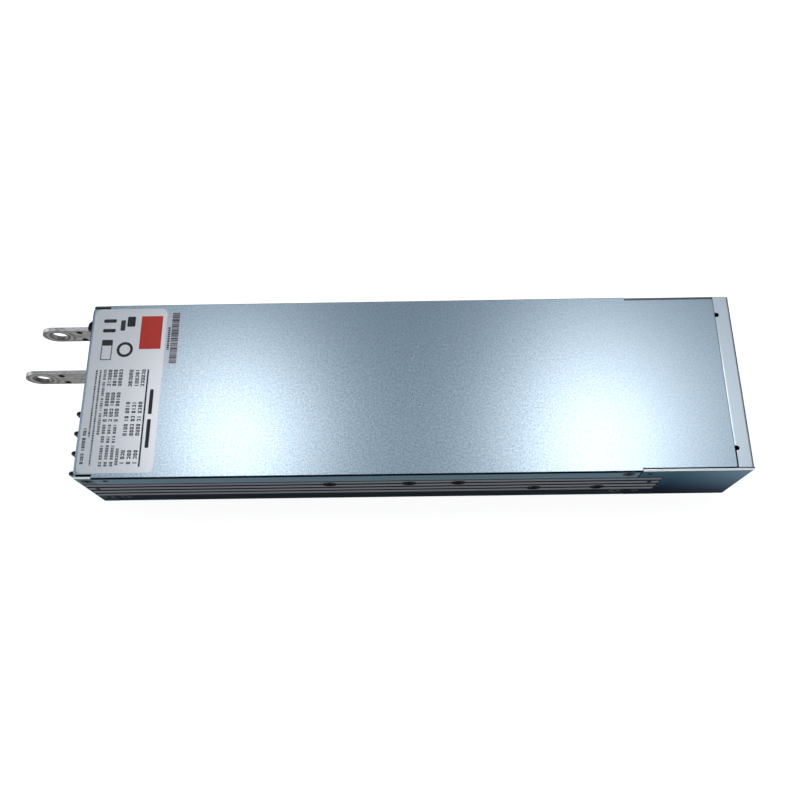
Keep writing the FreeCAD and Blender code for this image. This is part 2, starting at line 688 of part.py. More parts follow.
for tag, y in (("near", -32.3), ("far", 32.6)):
    cutters.append(fuse("seam_notch_" + tag,
                        box("seam_notch_slot_" + tag, (rear_seam - 1, rear_seam + 1.0), (y - 1.1, y + 1.1), (top - 2, top + 1)),
                        cyl("seam_notch_end_" + tag, "+z", (rear_seam + 1.0, y, top - 2), 1.1, 3)))
cutters.append(box("seam_relief_near", (rear_seam - 1, rear_seam + 0.65), (-half_wid + sheet_t, -32.3), (top - 2, top + 1)))
node("fan_housing", cut("fan_housing_sheet", shell, *cutters))

# ---- fans -----------------------------------------------------------------

half_fan = D["fan_size"] / 2
near_y = -D["fan_y"]
cz = D["fan_z"]


def square(name, x0, x1):
    return box(name, (x0, x1), (near_y - half_fan, near_y + half_fan), (cz - half_fan, cz + half_fan))


c0 = (fan_x0, near_y, cz)
ends = rounded("fan_end_front", square("fan_end_front_sq", fan_x0, fan_x0 + 3.5), 3.4, lambda e: along(e, "x"))
tails = rounded("fan_end_rear", square("fan_end_rear_sq", rear_in - 3.5, rear_in), 3.4, lambda e: along(e, "x"))
waist = cyl("fan_waist", "+x", c0, half_fan - 0.1, D["fan_deep"])
shroud = cut("fan_shroud", fuse("fan_shroud_blank", ends, tails, waist),
             cyl("fan_duct", "+x", (fan_x0 - 1, near_y, cz), D["fan_duct_r"], D["fan_deep"] + 2))
bx0, bx1 = rear_in - 4.8, rear_in - 0.8
motor = fuse("fan_motor_base",
             cyl("fan_base_disc", "+x", (bx0, near_y, cz), 9.6, bx1 - bx0),
             box("fan_strut_a", (bx0 + 0.6, bx1), (near_y - 18.2, near_y + 18.2), (cz - 1.2, cz + 1.2)),
             box("fan_strut_b", (bx0 + 0.6, bx1), (near_y - 1.2, near_y + 1.2), (cz - 18.2, cz + 18.2)),
             cyl("fan_tube", "+x", (fan_x0 + 7, near_y, cz), 3.5, bx0 - fan_x0 - 6.5))
holes = [cyl("fan_tube_bore", "+x", (fan_x0 + 6, near_y, cz), 2.7, bx0 - fan_x0 - 6)]
for i in (-1, 1):
    for j in (-1, 1):
        c = (fan_x0 - 1, near_y + D["fan_hole"] * i, cz + D["fan_hole"] * j)
        holes.append(fuse("fan_bolt_%d_%d" % (i + 1, j + 1),
                          cyl("fan_bolt_bore_%d_%d" % (i + 1, j + 1), "+x", c, 1.45, D["fan_deep"] + 2),
                          cone("fan_bolt_lead_%d_%d" % (i + 1, j + 1), "+x", (rear_in - 0.6, c[1], c[2]), 1.45, 2.1, 0.65)))
fan_frame = cut("fan_frame_moulding", fuse("fan_frame_blank", shroud, motor), *holes)
node("fan_frame_near", fan_frame)
span = D["fan_y"] * 2
node("fan_frame_far", link("fan_frame_copy", fan_frame, 0, span, 0))

hub_x0, hub_x1 = fan_x0 + 2.2, bx0 - 0.6
hub = cut("fan_hub",
          fuse("fan_hub_blank",
               cut("fan_cup", cyl("fan_cup_out", "+x", (hub_x0, near_y, cz), D["fan_hub_r"], hub_x1 - hub_x0),
                   cyl("fan_cup_in", "+x", (hub_x0 + 1.6, near_y, cz), D["fan_hub_r"] - 1.0, 40)),
               cyl("fan_boss", "+x", (hub_x0 + 1.2, near_y, cz), 2.3, 2.8)),
          cyl("fan_boss_bore", "+x", (hub_x0 + 1.0, near_y, cz), D["shaft_r"] + 0.02, 6))
N_BLADES = 7
ax_y, ax_z = near_y.v, cz.v
tool_in = Part.makeCylinder(9.0, 60, V(100, ax_y, ax_z), V(1, 0, 0))
tool_out = Part.makeCylinder(D["fan_tip_r"].v, 60, V(100, ax_y, ax_z), V(1, 0, 0))
blades = []
for b in range(N_BLADES):
    phi = 2 * math.pi * b / N_BLADES
    er = V(0, math.cos(phi), math.sin(phi))
    et = V(0, -math.sin(phi), math.cos(phi))
    ex = V(1, 0, 0)
    mid = V((hub_x0.v + hub_x1.v) / 2 - 1.0, ax_y, ax_z)
    wires = []
    for rad, slope in ((7.0, 32.0), (12.5, 42.0), (18.5, 50.0)):
        t = math.tan(math.radians(slope))
        chord = (ex + et * t)
        length = 15.5
        side = (et - ex * t)
        side.normalize()
        o = mid + er * rad
        a, c = o - chord * (length / 2), o + chord * (length / 2)
        h = side * 0.5
        wires.append(Part.makePolygon([a - h, c - h, c + h, a + h, a - h]))
    w = Part.makeLoft(wires, True, True)
    blades.append(w.cut(tool_in).common(tool_out))
blade_set = doc.addObject("Part::Feature", "fan_blade_set")
blade_set.Shape = Part.makeCompound(blades)
impeller = fuse("fan_impeller_moulding", hub, blade_set)
node("fan_impeller_near", impeller)
node("fan_impeller_far", link("fan_impeller_copy", impeller, 0, span, 0))

shaft = cyl("fan_shaft_pin", "+x", (hub_x0 + 1.2, near_y, cz), D["shaft_r"], bx0 - hub_x0 - 1.7)
node("fan_shaft_near", shaft)
node("fan_shaft_far", cyl("fan_shaft_pin_far", "+x", (hub_x0 + 1.2, D["fan_y"], cz), D["shaft_r"], bx0 - hub_x0 - 1.7))

magnet = cut("fan_magnet_ring", cyl("fan_magnet_out", "+x", (hub_x0 + 3, near_y, cz), D["fan_hub_r"] - 1.05, 14),
             cyl("fan_magnet_in", "+x", (hub_x0 + 2, near_y, cz), 7.5, 18))
node("fan_magnet_near", magnet)
node("fan_magnet_far", link("fan_magnet_copy", magnet, 0, span, 0))

rings_set = []
for tag, x in (("front", fan_x0 + 7.4), ("rear", bx0 - 4.6)):
    rings_set.append(cut("fan_bearing_" + tag, cyl("fan_bearing_out_" + tag, "+x", (x, near_y, cz), 2.65, 4),
                         cyl("fan_bearing_in_" + tag, "+x", (x - 1, near_y, cz), D["shaft_r"] + 0.03, 6)))
pair = group("fan_bearing_pair", *rings_set)
node("fan_bearings", group("fan_bearing_set", pair, link("fan_bearing_copy", pair, 0, span, 0)))

sx = fan_x0 + 9.5
core = cut("fan_core_ring", cyl("fan_core_out", "+x", (sx, near_y, cz), 4.7, 9),
           cyl("fan_core_in", "+x", (sx - 1, near_y, cz), 3.55, 12))
shoe = cut("fan_shoes", cyl("fan_shoe_out", "+x", (sx, near_y, cz), 7.0, 9),
           cyl("fan_shoe_in", "+x", (sx - 1, near_y, cz), 6.0, 12),)
gaps = fuse("fan_shoe_gaps",
            box("fan_shoe_gap_a", (sx - 1, sx + 10), (near_y - 1.3, near_y + 1.3), (cz - 9, cz + 9)),
            box("fan_shoe_gap_b", (sx - 1, sx + 10), (near_y - 9, near_y + 9), (cz - 1.3, cz + 1.3)))
arms = []
for k in range(4):
    a = box("fan_arm_%d" % k, (0, 9), (4.2, 6.4), (-1.2, 1.2))
    arms.append(link("fan_arm_set_%d" % k, a, 0, 0, 0, R(V(1, 0, 0), 45 + 90 * k)))
arm_group = group("fan_arms", *arms)
for a in arms:
    a.LinkTransform = True
arm_set = link("fan_arms_placed", arm_group, sx, near_y, cz)
stator = fuse("fan_stator_core", core, cut("fan_shoe_cut", shoe, gaps), arm_set)
node("fan_stators", group("fan_stator_set", stator, link("fan_stator_copy", stator, 0, span, 0)))

fan_csk = csk_screw("fan_csk_screw", D["csk_r"], 1.4, 7.0, 2.9)
items = []
for s in (-1, 1):
    for i in (-1, 1):
        for j in (-1, 1):
            items.append(link("fan_screw_%d_%d_%d" % (s + 1, i + 1, j + 1), fan_csk, half_len,
                              D["fan_y"] * s + D["fan_hole"] * i, cz + D["fan_hole"] * j, IN_X))
node("fan_screws", group("fan_screw_set", *items))

# lead from each fan to its plug on the board
items = []
for side, y, k in (("near", -29.0, -1), ("far", 29.0, 1)):
    run = cyl("fan_lead_run_" + side, "-x", (fan_x0 - 0.3, y, 26), 1.1, fan_x0 - 0.3 - 110.5)
    bend = doc.addObject("Part::Torus", "fan_lead_bend_" + side)
    bind(bend, "Radius1", 4)
    bind(bend, "Radius2", 1.1)
    bind(bend, "Angle3", 90)
    bend.Placement = FreeCAD.Placement(V(110.5, y, 22), R(V(1, 0, 0), V(0, 0, 1), V(0, -1, 0), "XYZ"))
    bend.Placement = FreeCAD.Placement(V(110.5, y, 22), R(V(0, 0, 1), V(-1, 0, 0), V(0, -1, 0), "XYZ"))
    drop = cyl("fan_lead_drop_" + side, "-z", (106.5, y, 22), 1.1, 7.5)
    plug = box("fan_lead_plug_" + side, (103.9, 109.1), (y - 3.2, y + 3.2), (deck, 15.0))
    items.append(fuse("fan_lead_" + side, run, bend, drop, plug))
node("fan_leads", group("fan_lead_set", *items))

# ---- input terminals ------------------------------------------------------

face = -D["block_face"]
tip = -D["block_tip"]
block = box("terminal_base", (face, -D["block_rear"]), (block_y0, block_y1), (deck, D["block_top"]))
walls = []
pole_y = []
for i in range(4):
    yc = -D["pole_first"] - D["pole_pitch"] * i
    w = box("terminal_wall_%d" % i, (tip, face + 1), (yc - D["barrier_t"] / 2, yc + D["barrier_t"] / 2), (deck, D["block_top"]))
    w = rounded("terminal_wall_brow_%d" % i, w, 2.2,
                lambda e: e.CenterOfMass.x < -156.7 and along(e, "y") and e.CenterOfMass.z > 20)
    walls.append(rounded("terminal_wall_round_%d" % i, w, 0.8,
                         lambda e: e.CenterOfMass.x < -156.7 and along(e, "z")))
    if i < 3:
        pole_y.append(yc - D["pole_pitch"] / 2)
bores = [cyl("terminal_bore_%d" % i, "+x", (face - 1, y, D["pole_z"]), 2.1, 10) for i, y in enumerate(pole_y)]
node("terminal_block", cut("terminal_moulding", fuse("terminal_blank", block, *walls), *bores))

plate_t = 0.8
items = []
for i, y in enumerate(pole_y):
    p = box("terminal_plate_%d" % i, (face - plate_t, face), (y - 3.4, y + 3.4), (num(13.0), num(29.6)))
    items.append(cut("terminal_contact_%d" % i, p, cyl("terminal_contact_bore_%d" % i, "+x", (face - 2, y, D["pole_z"]), 2.1, 4)))
node("terminal_contacts", group("terminal_contact_set", *items))

for i, y in enumerate(pole_y, start=1):
    x1 = face - plate_t
    sq = box("terminal_clamp_plate_%d" % i, (x1 - 0.8, x1), (y - 3.5, y + 3.5), (D["pole_z"] - 3.5, D["pole_z"] + 3.5))
    sq = rounded("terminal_clamp_round_%d" % i, sq, 0.6, lambda e: along(e, "x"))
    node("terminal_clamp_%d" % i, cut("terminal_clamp_sq_%d" % i, sq,
         cyl("terminal_clamp_bore_%d" % i, "+x", (x1 - 3, y, D["pole_z"]), 2.1, 6)))
    x2 = x1 - 0.8
    head = cyl("terminal_head_%d" % i, "-x", (x2, y, D["pole_z"]), 3.2, 2.4)
    head = rounded("terminal_head_round_%d" % i, head, 0.6,
                   lambda e: isinstance(e.Curve, Part.Circle) and e.CenterOfMass.x < x2.v - 1)
    shank = cyl("terminal_shank_%d" % i, "+x", (x2 - 0.2, y, D["pole_z"]), 1.95, 9.6)
    xs = x2 - 2.4
    slots = fuse("terminal_cross_%d" % i,
                 box("terminal_cross_a_%d" % i, (xs - 1, xs + 1.1), (y - 2.9, y + 2.9), (D["pole_z"] - 0.5, D["pole_z"] + 0.5)),
                 box("terminal_cross_b_%d" % i, (xs - 1, xs + 1.1), (y - 0.5, y + 0.5), (D["pole_z"] - 1.8, D["pole_z"] + 1.8)))
    node("terminal_screw_%d" % i, cut("terminal_screw_body_%d" % i, fuse("terminal_screw_blank_%d" % i, head, shank), slots))

# ---- output bars ----------------------------------------------------------


def busbar(name, y0, tip_x, pin_x, legs):
    r = D["bar_tall"] / 2
    zc = D["bar_z"] + r
    x0 = -num(tip_x) + r
    parts = [box(name + "_strip", (x0, -D["bar_root"]), (y0, y0 + D["bar_t"]), (D["bar_z"], D["bar_z"] + D["bar_tall"])),
             cyl(name + "_nose", "+y", (x0, y0, zc), r, D["bar_t"])]
    for i, x in enumerate(legs):
        parts.append(box("%s_leg_%d" % (name, i), (x, x + 5), (y0, y0 + D["bar_t"]), (deck, D["bar_z"] + 1)))
    blank = fuse(name + "_blank", *parts)
    hole = cyl(name + "_hole", "+y", (-num(tip_x) + D["bar_hole_back"], y0 - 1, zc), D["bar_hole_r"], D["bar_t"] + 2)
    small = [cyl("%s_pin_%s" % (name, tag), "+y", (-num(pin_x), y0 - 1, zc + D["bar_pin_z"] * k), D["bar_pin_r"], D["bar_t"] + 2)
             for tag, k in (("low", -1), ("high", 1))]
    return cut(name, blank, hole, *small)


far_bar = busbar("bar_far", D["bar_far_y"], D["bar_far_tip"], D["bar_far_pin"], (-121.0, -106.0))
near_bar = busbar("bar_near", D["bar_near_y"], D["bar_near_tip"], D["bar_near_pin"], (-138.0, -106.0))
node("busbar_positive", near_bar)
node("busbar_negative", far_bar)

foot_x = (-half_len + sheet_t + slip, num(-139.5))
rib = box("bar_guard_rib", (num(-153.8), foot_x[1]), (D["bar_far_y"] + D["bar_t"] + 0.2, num(37.6)), (D["bar_z"] - 1.0, bar_top + 2.7))
roof = box("bar_guard_roof", (num(-154.4), -half_len + sheet_t), (num(33.0), num(37.6)), (bar_top + 0.15, bar_top + 2.7))
guard = rounded("bar_guard_nose", fuse("bar_guard", rib, roof), 2.4,
                lambda e: along(e, "z") and e.CenterOfMass.x < -154 and e.CenterOfMass.y > 37)
foot = box("bar_foot_far_block", foot_x, (num(31.0), num(37.9)), (deck, D["bar_z"] - 0.1))
node("busbar_support_far", fuse("bar_foot_far", foot, guard))
node("busbar_support_near", box("bar_foot_near", foot_x, (num(8.6), num(15.0)), (deck, D["bar_z"] - 0.1)))

# ---- control connector, trimmer, lamp -------------------------------------

shroud_box = box("control_shell_blank", (num(-149.8), num(-141.0)), (15.5, 30.5), (9.1, 15.9))
cavity = box("control_shell_cavity", (num(-152.0), num(-143.0)), (16.4, 29.6), (10.0, 15.0))
key = box("control_shell_key", (num(-152.0), num(-145.0)), (21.0, 25.0), (14.5, 17.0))
pins = []
bores = []
for i in range(6):
    for j in range(2):
        y, z = 18.0 + 2.0 * i, 11.5 + 2.0 * j
        pins.append(box("control_pin_%d_%d" % (i, j), (num(-148.2), num(-139.6)), (y - 0.25, y + 0.25), (z - 0.25, z + 0.25)))
        bores.append(box("control_pin_bore_%d_%d" % (i, j), (num(-144.0), num(-140.0)), (y - 0.27, y + 0.27), (z - 0.27, z + 0.27)))
shell = cut("control_shell", cut("control_shell_hollow", shroud_box, fuse("control_shell_room", cavity, key)), *bores)
node("control_connector", shell)
node("control_pins", group("control_pin_set", *pins))

trim = box("trimmer_blank", (num(-148.7), num(-143.5)), (0.3, 6.7), (10.8, 17.2))
node("trimmer_body", cut("trimmer_case", trim, cyl("trimmer_seat", "+x", (num(-149.5), num(3.5), num(14.0)), 2.06, 2.3)))
rotor = cyl("trimmer_disc", "+x", (num(-149.6), num(3.5), num(14.0)), 2.0, 2.3)
node("trimmer_rotor", cut("trimmer_dial", rotor, box("trimmer_slot", (num(-151.0), num(-148.7)), (3.15, 3.85), (12.3, 15.7))))

lamp = fuse("lamp_blank", cyl("lamp_body", "+x", (num(-149.6), num(-3.0), num(14.0)), 1.5, 4.0),
            cyl("lamp_collar", "+x", (num(-147.0), num(-3.0), num(14.0)), 1.9, 1.4))
dome = doc.addObject("Part::Sphere", "lamp_dome")
bind(dome, "Radius", 1.5)
at(dome, -149.6, -3.0, 14.0)
node("status_led", fuse("lamp_moulding", lamp, dome))

# ---- labels ---------------------------------------------------------------


def sticker(name, x, y, corner):
    b = box(name + "_blank", x, y, (top, top + 0.08))
    return rounded(name, b, corner, lambda e: along(e, "z"))


node("rating_label", sticker("rating_sheet", (num(-148.9), num(-114.6)), (num(-40.1), num(40.5)), 3.0))
node("serial_label", sticker("serial_sheet", (num(-114.2), num(-108.1)), (num(11.2), num(38.7)), 0.6))

# ---- boards and what stands on them ---------------------------------------

board = new_body("main_board_sheet")
bf, br, bh = -D["board_front"], D["board_rear"], D["board_half"]
sk = outline(board, "main_board_outline", "XY_Plane", board_z, [(bf, -bh), (br, -bh), (br, bh), (bf, bh)])
pad(board, "main_board_plate", sk, D["board_t"])
sk = rings(board, "main_board_screw_plan", "XY_Plane", deck + 1, 1.5,
           [(num(x), num(y)) for x in BOARD_SCREWS for y in (-35.4, 35.4)])
pocket(board, "main_board_screw_holes", sk, D["board_t"] + 2)
node("main_board", board)

film = box("film_sheet", (num(-144), num(110)), (-33.0, 33.0), (sheet_t, sheet_t + 0.4))
node("insulating_sheet", cut("film_cut", film, *[
    cyl("film_hole_%d_%d" % (i, j), "+z", (x, y, sheet_t - 1), 3.9, 3)
    for i, x in enumerate((-D["nut_front"], D["nut_rear"]))
    for j, y in enumerate((-D["nut_side"], D["nut_side"]))]))

node("control_board", box("control_card", (num(-136), num(-112)), (-2.0, -0.4), (deck, num(34))))
node("input_fuse", fuse("fuse_blank", cyl("fuse_tube", "+x", (num(-134), num(-27), num(12.6)), 3.0, 20),
                        box("fuse_foot_a", (num(-133.6), num(-128.6)), (-29.6, -24.4), (deck, num(12))),
                        box("fuse_foot_b", (num(-119.4), num(-114.4)), (-29.6, -24.4), (deck, num(12)))))
node("inrush_relay", box("relay_case", (num(-110), num(-90)), (-33.0, -22.0), (deck, num(24))))


def soft_box(name, x, y, z, r=0.8):
    return rounded(name, box(name + "_blank", x, y, z), r, lambda e: along(e, "z"))


node("film_capacitors", group("film_capacitor_set",
     soft_box("film_cap_a", (num(-134), num(-108)), (-21.0, -11.0), (deck, num(27))),
     soft_box("film_cap_b", (num(-88), num(-62)), (-32.4, -22.4), (deck, num(27)))))


def toroid(name, x, y, r_out, r_in, z1, soft):
    ring = cut(name + "_ring", cyl(name + "_out", "+z", (x, y, deck), r_out, num(z1) - deck),
               cyl(name + "_in", "+z", (x, y, 0), r_in, 60))
    return rounded(name, ring, soft, lambda e: isinstance(e.Curve, Part.Circle))


node("input_chokes", group("input_choke_set",
     toroid("choke_a", num(-88), num(-8), 12.6, 5.0, 24.0, 2.5),
     toroid("choke_b", num(-60), num(-8), 12.6, 5.0, 24.0, 2.5)))
node("pfc_choke", toroid("choke_c", num(2), num(-12.5), 17.0, 6.5, 30.0, 3.5))

items, pads = [], []
for i, (x, k) in enumerate(DEVICES):
    z = GROOVE[k]
    half = 15.0 if i == 0 else 8.0
    za, zb = (z - 10.4, z + 6.0) if k == 2 else (z - 5.4, z + 5.6)
    b = box("device_%d" % i, (x - half, x + half), (-37.9, -32.9), (za, zb))
    b = cut("device_case_%d" % i, b, cyl("device_bore_%d" % i, "+y", (x, -40, z), 1.6, 12))
    p = box("pad_%d" % i, (x - half, x + half), (-D["prof_in"], -37.9), (za, zb))
    p = cut("pad_cut_%d" % i, p, cyl("pad_bore_%d" % i, "+y", (x, -40, z), 1.8, 12))
    items += [b, mirrored("device_far_%d" % i, b)]
    pads += [p, mirrored("pad_far_%d" % i, p)]
node("power_devices", group("power_device_set", *items))
node("thermal_pads", group("thermal_pad_set", *pads))

node("bulk_capacitors", group("bulk_capacitor_set", *[
    rounded("bulk_%s" % s, cyl("bulk_can_%s" % s, "+x", (num(34), y, deck + 15), 15, 46), 1.2,
            lambda e: isinstance(e.Curve, Part.Circle)) for s, y in (("near", -16.0), ("far", 16.0))]))

tx, ty = num(-26), num(18.5)
yoke = cut("transformer_yoke", box("transformer_core_blank", (tx - 18, tx + 18), (ty - 6.5, ty + 6.5), (deck, num(36))),
           box("transformer_window", (tx - 12, tx + 12), (ty - 8, ty + 8), (num(13), num(31))))
core = fuse("transformer_core", yoke, cyl("transformer_leg", "+z", (tx, ty, num(12.5)), 5.0, 19))
coil = cut("transformer_coil", cyl("transformer_coil_out", "+z", (tx, ty, num(13.3)), 11.6, 17.4),
           cyl("transformer_coil_in", "+z", (tx, ty, num(12)), 5.2, 20))
node("main_transformer", group("main_transformer_set", core, coil))

items = []
for i, x in enumerate((-94.0, -82.0, -70.0, -58.0)):
    for j, y in enumerate((17.0, 27.6)):
        items.append(rounded("out_cap_%d_%d" % (i, j), cyl("out_can_%d_%d" % (i, j), "+z", (num(x), y, deck), 5.0, 25),
                             0.6, lambda e: isinstance(e.Curve, Part.Circle) and e.CenterOfMass.z > 20))
node("output_capacitors", group("output_capacitor_set", *items))
node("auxiliary_transformer", soft_box("aux_block", (num(85), num(102)), (-8.5, 8.5), (deck, num(23)), 1.5))

# ---- check and write ------------------------------------------------------

doc.recompute()
for o in doc.Objects:
    bad = [s for s in o.State if s in ("Invalid", "Error")]
    if bad:
        raise RuntimeError("%s is %s" % (o.Label, bad))
for name, obj in NODES:
    shape = Part.getShape(obj)
    if shape.isNull() or not shape.isValid() or not shape.Solids:
        raise RuntimeError(name + " has no good shape")
    shape.exportStep("parts/%s.step" % name)
    b = shape.BoundBox
    print("%-24s solids %3d  vol %10.1f  x %8.2f %8.2f  y %7.2f %7.2f  z %6.2f %6.2f" % (
        name, len(shape.Solids), shape.Volume, b.XMin, b.XMax, b.YMin, b.YMax, b.ZMin, b.ZMax))
print(len(NODES), "nodes")
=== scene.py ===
import json
import math
import random

import bmesh
import bpy
from mathutils import Matrix, Vector


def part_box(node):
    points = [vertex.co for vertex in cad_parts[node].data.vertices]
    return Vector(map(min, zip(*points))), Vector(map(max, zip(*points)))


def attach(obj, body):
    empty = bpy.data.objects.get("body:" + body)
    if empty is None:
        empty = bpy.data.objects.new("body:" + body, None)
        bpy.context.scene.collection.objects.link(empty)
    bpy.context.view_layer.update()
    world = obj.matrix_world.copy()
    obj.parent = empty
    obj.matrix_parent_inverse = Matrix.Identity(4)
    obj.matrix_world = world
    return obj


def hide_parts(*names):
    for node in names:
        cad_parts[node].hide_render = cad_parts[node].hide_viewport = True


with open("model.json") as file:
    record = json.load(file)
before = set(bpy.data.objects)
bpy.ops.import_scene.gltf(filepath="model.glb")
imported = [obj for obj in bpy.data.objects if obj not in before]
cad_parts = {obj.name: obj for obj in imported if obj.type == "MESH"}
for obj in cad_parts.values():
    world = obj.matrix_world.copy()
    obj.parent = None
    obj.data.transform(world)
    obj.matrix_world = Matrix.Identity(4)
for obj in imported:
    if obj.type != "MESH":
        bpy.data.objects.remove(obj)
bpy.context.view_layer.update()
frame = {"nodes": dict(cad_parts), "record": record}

NODES = frame["nodes"]
RECORD = frame["record"]
MM = 0.001
scene = bpy.context.scene

# ---------------------------------------------------------------- camera

cam_data = bpy.data.cameras.new("camera")
cam = bpy.data.objects.new("camera", cam_data)
scene.collection.objects.link(cam)
right = Vector((0.99981034, -0.0090437, -0.0172479))
up = Vector((0.01446722, 0.93778831, 0.34690601))
fwd = Vector((-0.01303756, 0.34708974, -0.93774129))
rot = Matrix((right, up, -fwd)).transposed()
cam.matrix_world = Matrix.Translation(Vector((0.009, -140.459, 400.096)) * MM) @ rot.to_4x4()
cam_data.sensor_fit = "HORIZONTAL"
cam_data.sensor_width = 36.0
cam_data.lens = 38.017
cam_data.clip_start = 0.01
cam_data.clip_end = 50.0
cam_data.dof.use_dof = False
scene.camera = cam
scene.view_settings.view_transform = "Standard"

# ------------------------------------------------------------- materials


class Mat:
    """A node material: textures read the object's own coordinates in metres."""

    def __init__(self, name):
        self.m = bpy.data.materials.new(name)
        self.m.use_nodes = True
        self.t = self.m.node_tree
        self.t.nodes.clear()
        out = self.t.nodes.new("ShaderNodeOutputMaterial")
        self.b = self.t.nodes.new("ShaderNodeBsdfPrincipled")
        self.t.links.new(self.b.outputs["BSDF"], out.inputs["Surface"])
        self.co = self.t.nodes.new("ShaderNodeTexCoord").outputs["Object"]

    def link(self, a, b):
        self.t.links.new(a, b)

    def put(self, sock, v):
        """Link an output, or set a plain value."""
        if isinstance(v, bpy.types.NodeSocket):
            self.t.links.new(v, sock)
        else:
            sock.default_value = v

    def set(self, name, v):
        self.put(self.b.inputs[name], v)
        return self

    def scaled(self, x, y, z, turn=(0, 0, 0)):
        n = self.t.nodes.new("ShaderNodeMapping")
        n.inputs["Scale"].default_value = (x, y, z)
        n.inputs["Rotation"].default_value = turn
        self.link(self.co, n.inputs["Vector"])
        return n.outputs["Vector"]

    def noise(self, scale, detail=2.0, rough=0.5, vec=None, warp=0.0):
        n = self.t.nodes.new("ShaderNodeTexNoise")
        n.inputs["Scale"].default_value = scale
        n.inputs["Detail"].default_value = detail
        n.inputs["Roughness"].default_value = rough
        n.inputs["Distortion"].default_value = warp
        self.link(vec or self.co, n.inputs["Vector"])
        return n.outputs["Fac"]

    def cells(self, scale, vec=None, rnd=1.0):
        """One random value for each cell."""
        n = self.t.nodes.new("ShaderNodeTexVoronoi")
        n.inputs["Scale"].default_value = scale
        n.inputs["Randomness"].default_value = rnd
        self.link(vec or self.co, n.inputs["Vector"])
        s = self.t.nodes.new("ShaderNodeSeparateColor")
        self.link(n.outputs["Color"], s.inputs["Color"])
        return s.outputs["Red"]

    def ramp(self, fac, stops):
        n = self.t.nodes.new("ShaderNodeValToRGB")
        e = n.color_ramp.elements
        while len(e) > 1:
            e.remove(e[-1])
        for i, (p, c) in enumerate(stops):
            el = e[0] if i == 0 else e.new(p)
            el.position = p
            c = (c, c, c) if isinstance(c, (int, float)) else c
            el.color = (c[0], c[1], c[2], 1.0)
        self.link(fac, n.inputs["Fac"])
        return n.outputs["Color"]

    def mix(self, fac, a, b, kind="MIX"):
        n = self.t.nodes.new("ShaderNodeMix")
        n.data_type = "RGBA"
        n.blend_type = kind
        n.clamp_factor = True
        self.put(n.inputs["Factor"], fac)
        for sock, v in ((n.inputs[6], a), (n.inputs[7], b)):
            if isinstance(v, (tuple, list)):
                v = (v[0], v[1], v[2], 1.0)
            self.put(sock, v)
        return n.outputs[2]

    def math(self, op, a, b=0.0, clamp=False):
        n = self.t.nodes.new("ShaderNodeMath")
        n.operation = op
        n.use_clamp = clamp
        self.put(n.inputs[0], a)
        self.put(n.inputs[1], b)
        return n.outputs["Value"]

    def span(self, v, a, b, c, d):
        """Map a..b to c..d, held at both ends."""
        n = self.t.nodes.new("ShaderNodeMapRange")
        n.clamp = True
        for k, x in (("From Min", a), ("From Max", b), ("To Min", c), ("To Max", d)):
            n.inputs[k].default_value = x
        self.put(n.inputs["Value"], v)
        return n.outputs["Result"]

    def axis(self, k):
        n = self.t.nodes.new("ShaderNodeSeparateXYZ")
        self.link(self.co, n.inputs["Vector"])
        return n.outputs[k]

    def normal(self, k):
        g = self.t.nodes.new("ShaderNodeTexCoord")
        n = self.t.nodes.new("ShaderNodeSeparateXYZ")
        self.link(g.outputs["Normal"], n.inputs["Vector"])
        return n.outputs[k]

    def edge(self, radius):
        """0 on flat ground, 1 on a sharp edge."""
        bv = self.t.nodes.new("ShaderNodeBevel")
        bv.samples = 4
        bv.inputs["Radius"].default_value = radius
        g = self.t.nodes.new("ShaderNodeNewGeometry")
        d = self.t.nodes.new("ShaderNodeVectorMath")
        d.operation = "DOT_PRODUCT"
        self.link(bv.outputs["Normal"], d.inputs[0])
        self.link(g.outputs["Normal"], d.inputs[1])
        return self.span(d.outputs["Value"], 0.985, 0.80, 0.0, 1.0)

    def grey(self, v):
        """A grey colour from a number or a value output."""
        if not isinstance(v, bpy.types.NodeSocket):
            return (v, v, v)
        n = self.t.nodes.new("ShaderNodeCombineColor")
        for k in ("Red", "Green", "Blue"):
            self.link(v, n.inputs[k])
        return n.outputs["Color"]

    def leaning(self, share, dx, dy):
        """The surface's normal, leaning by dx and dy where share is 1."""
        g = self.t.nodes.new("ShaderNodeNewGeometry")
        c = self.t.nodes.new("ShaderNodeCombineXYZ")
        self.link(self.math("MULTIPLY", share, dx), c.inputs["X"])
        self.link(self.math("MULTIPLY", share, dy), c.inputs["Y"])
        a = self.t.nodes.new("ShaderNodeVectorMath")
        a.operation = "ADD"
        self.link(g.outputs["Normal"], a.inputs[0])
        self.link(c.outputs["Vector"], a.inputs[1])
        n = self.t.nodes.new("ShaderNodeVectorMath")
        n.operation = "NORMALIZE"
        self.link(a.outputs["Vector"], n.inputs[0])
        return n.outputs["Vector"]

    def bump(self, height, strength, distance, lean=None):
        n = self.t.nodes.new("ShaderNodeBump")
        if lean is not None:
            self.link(lean, n.inputs["Normal"])
        n.inputs["Strength"].default_value = strength
        n.inputs["Distance"].default_value = distance
        self.link(height, n.inputs["Height"])
        self.link(n.outputs["Normal"], self.b.inputs["Normal"])
        return self


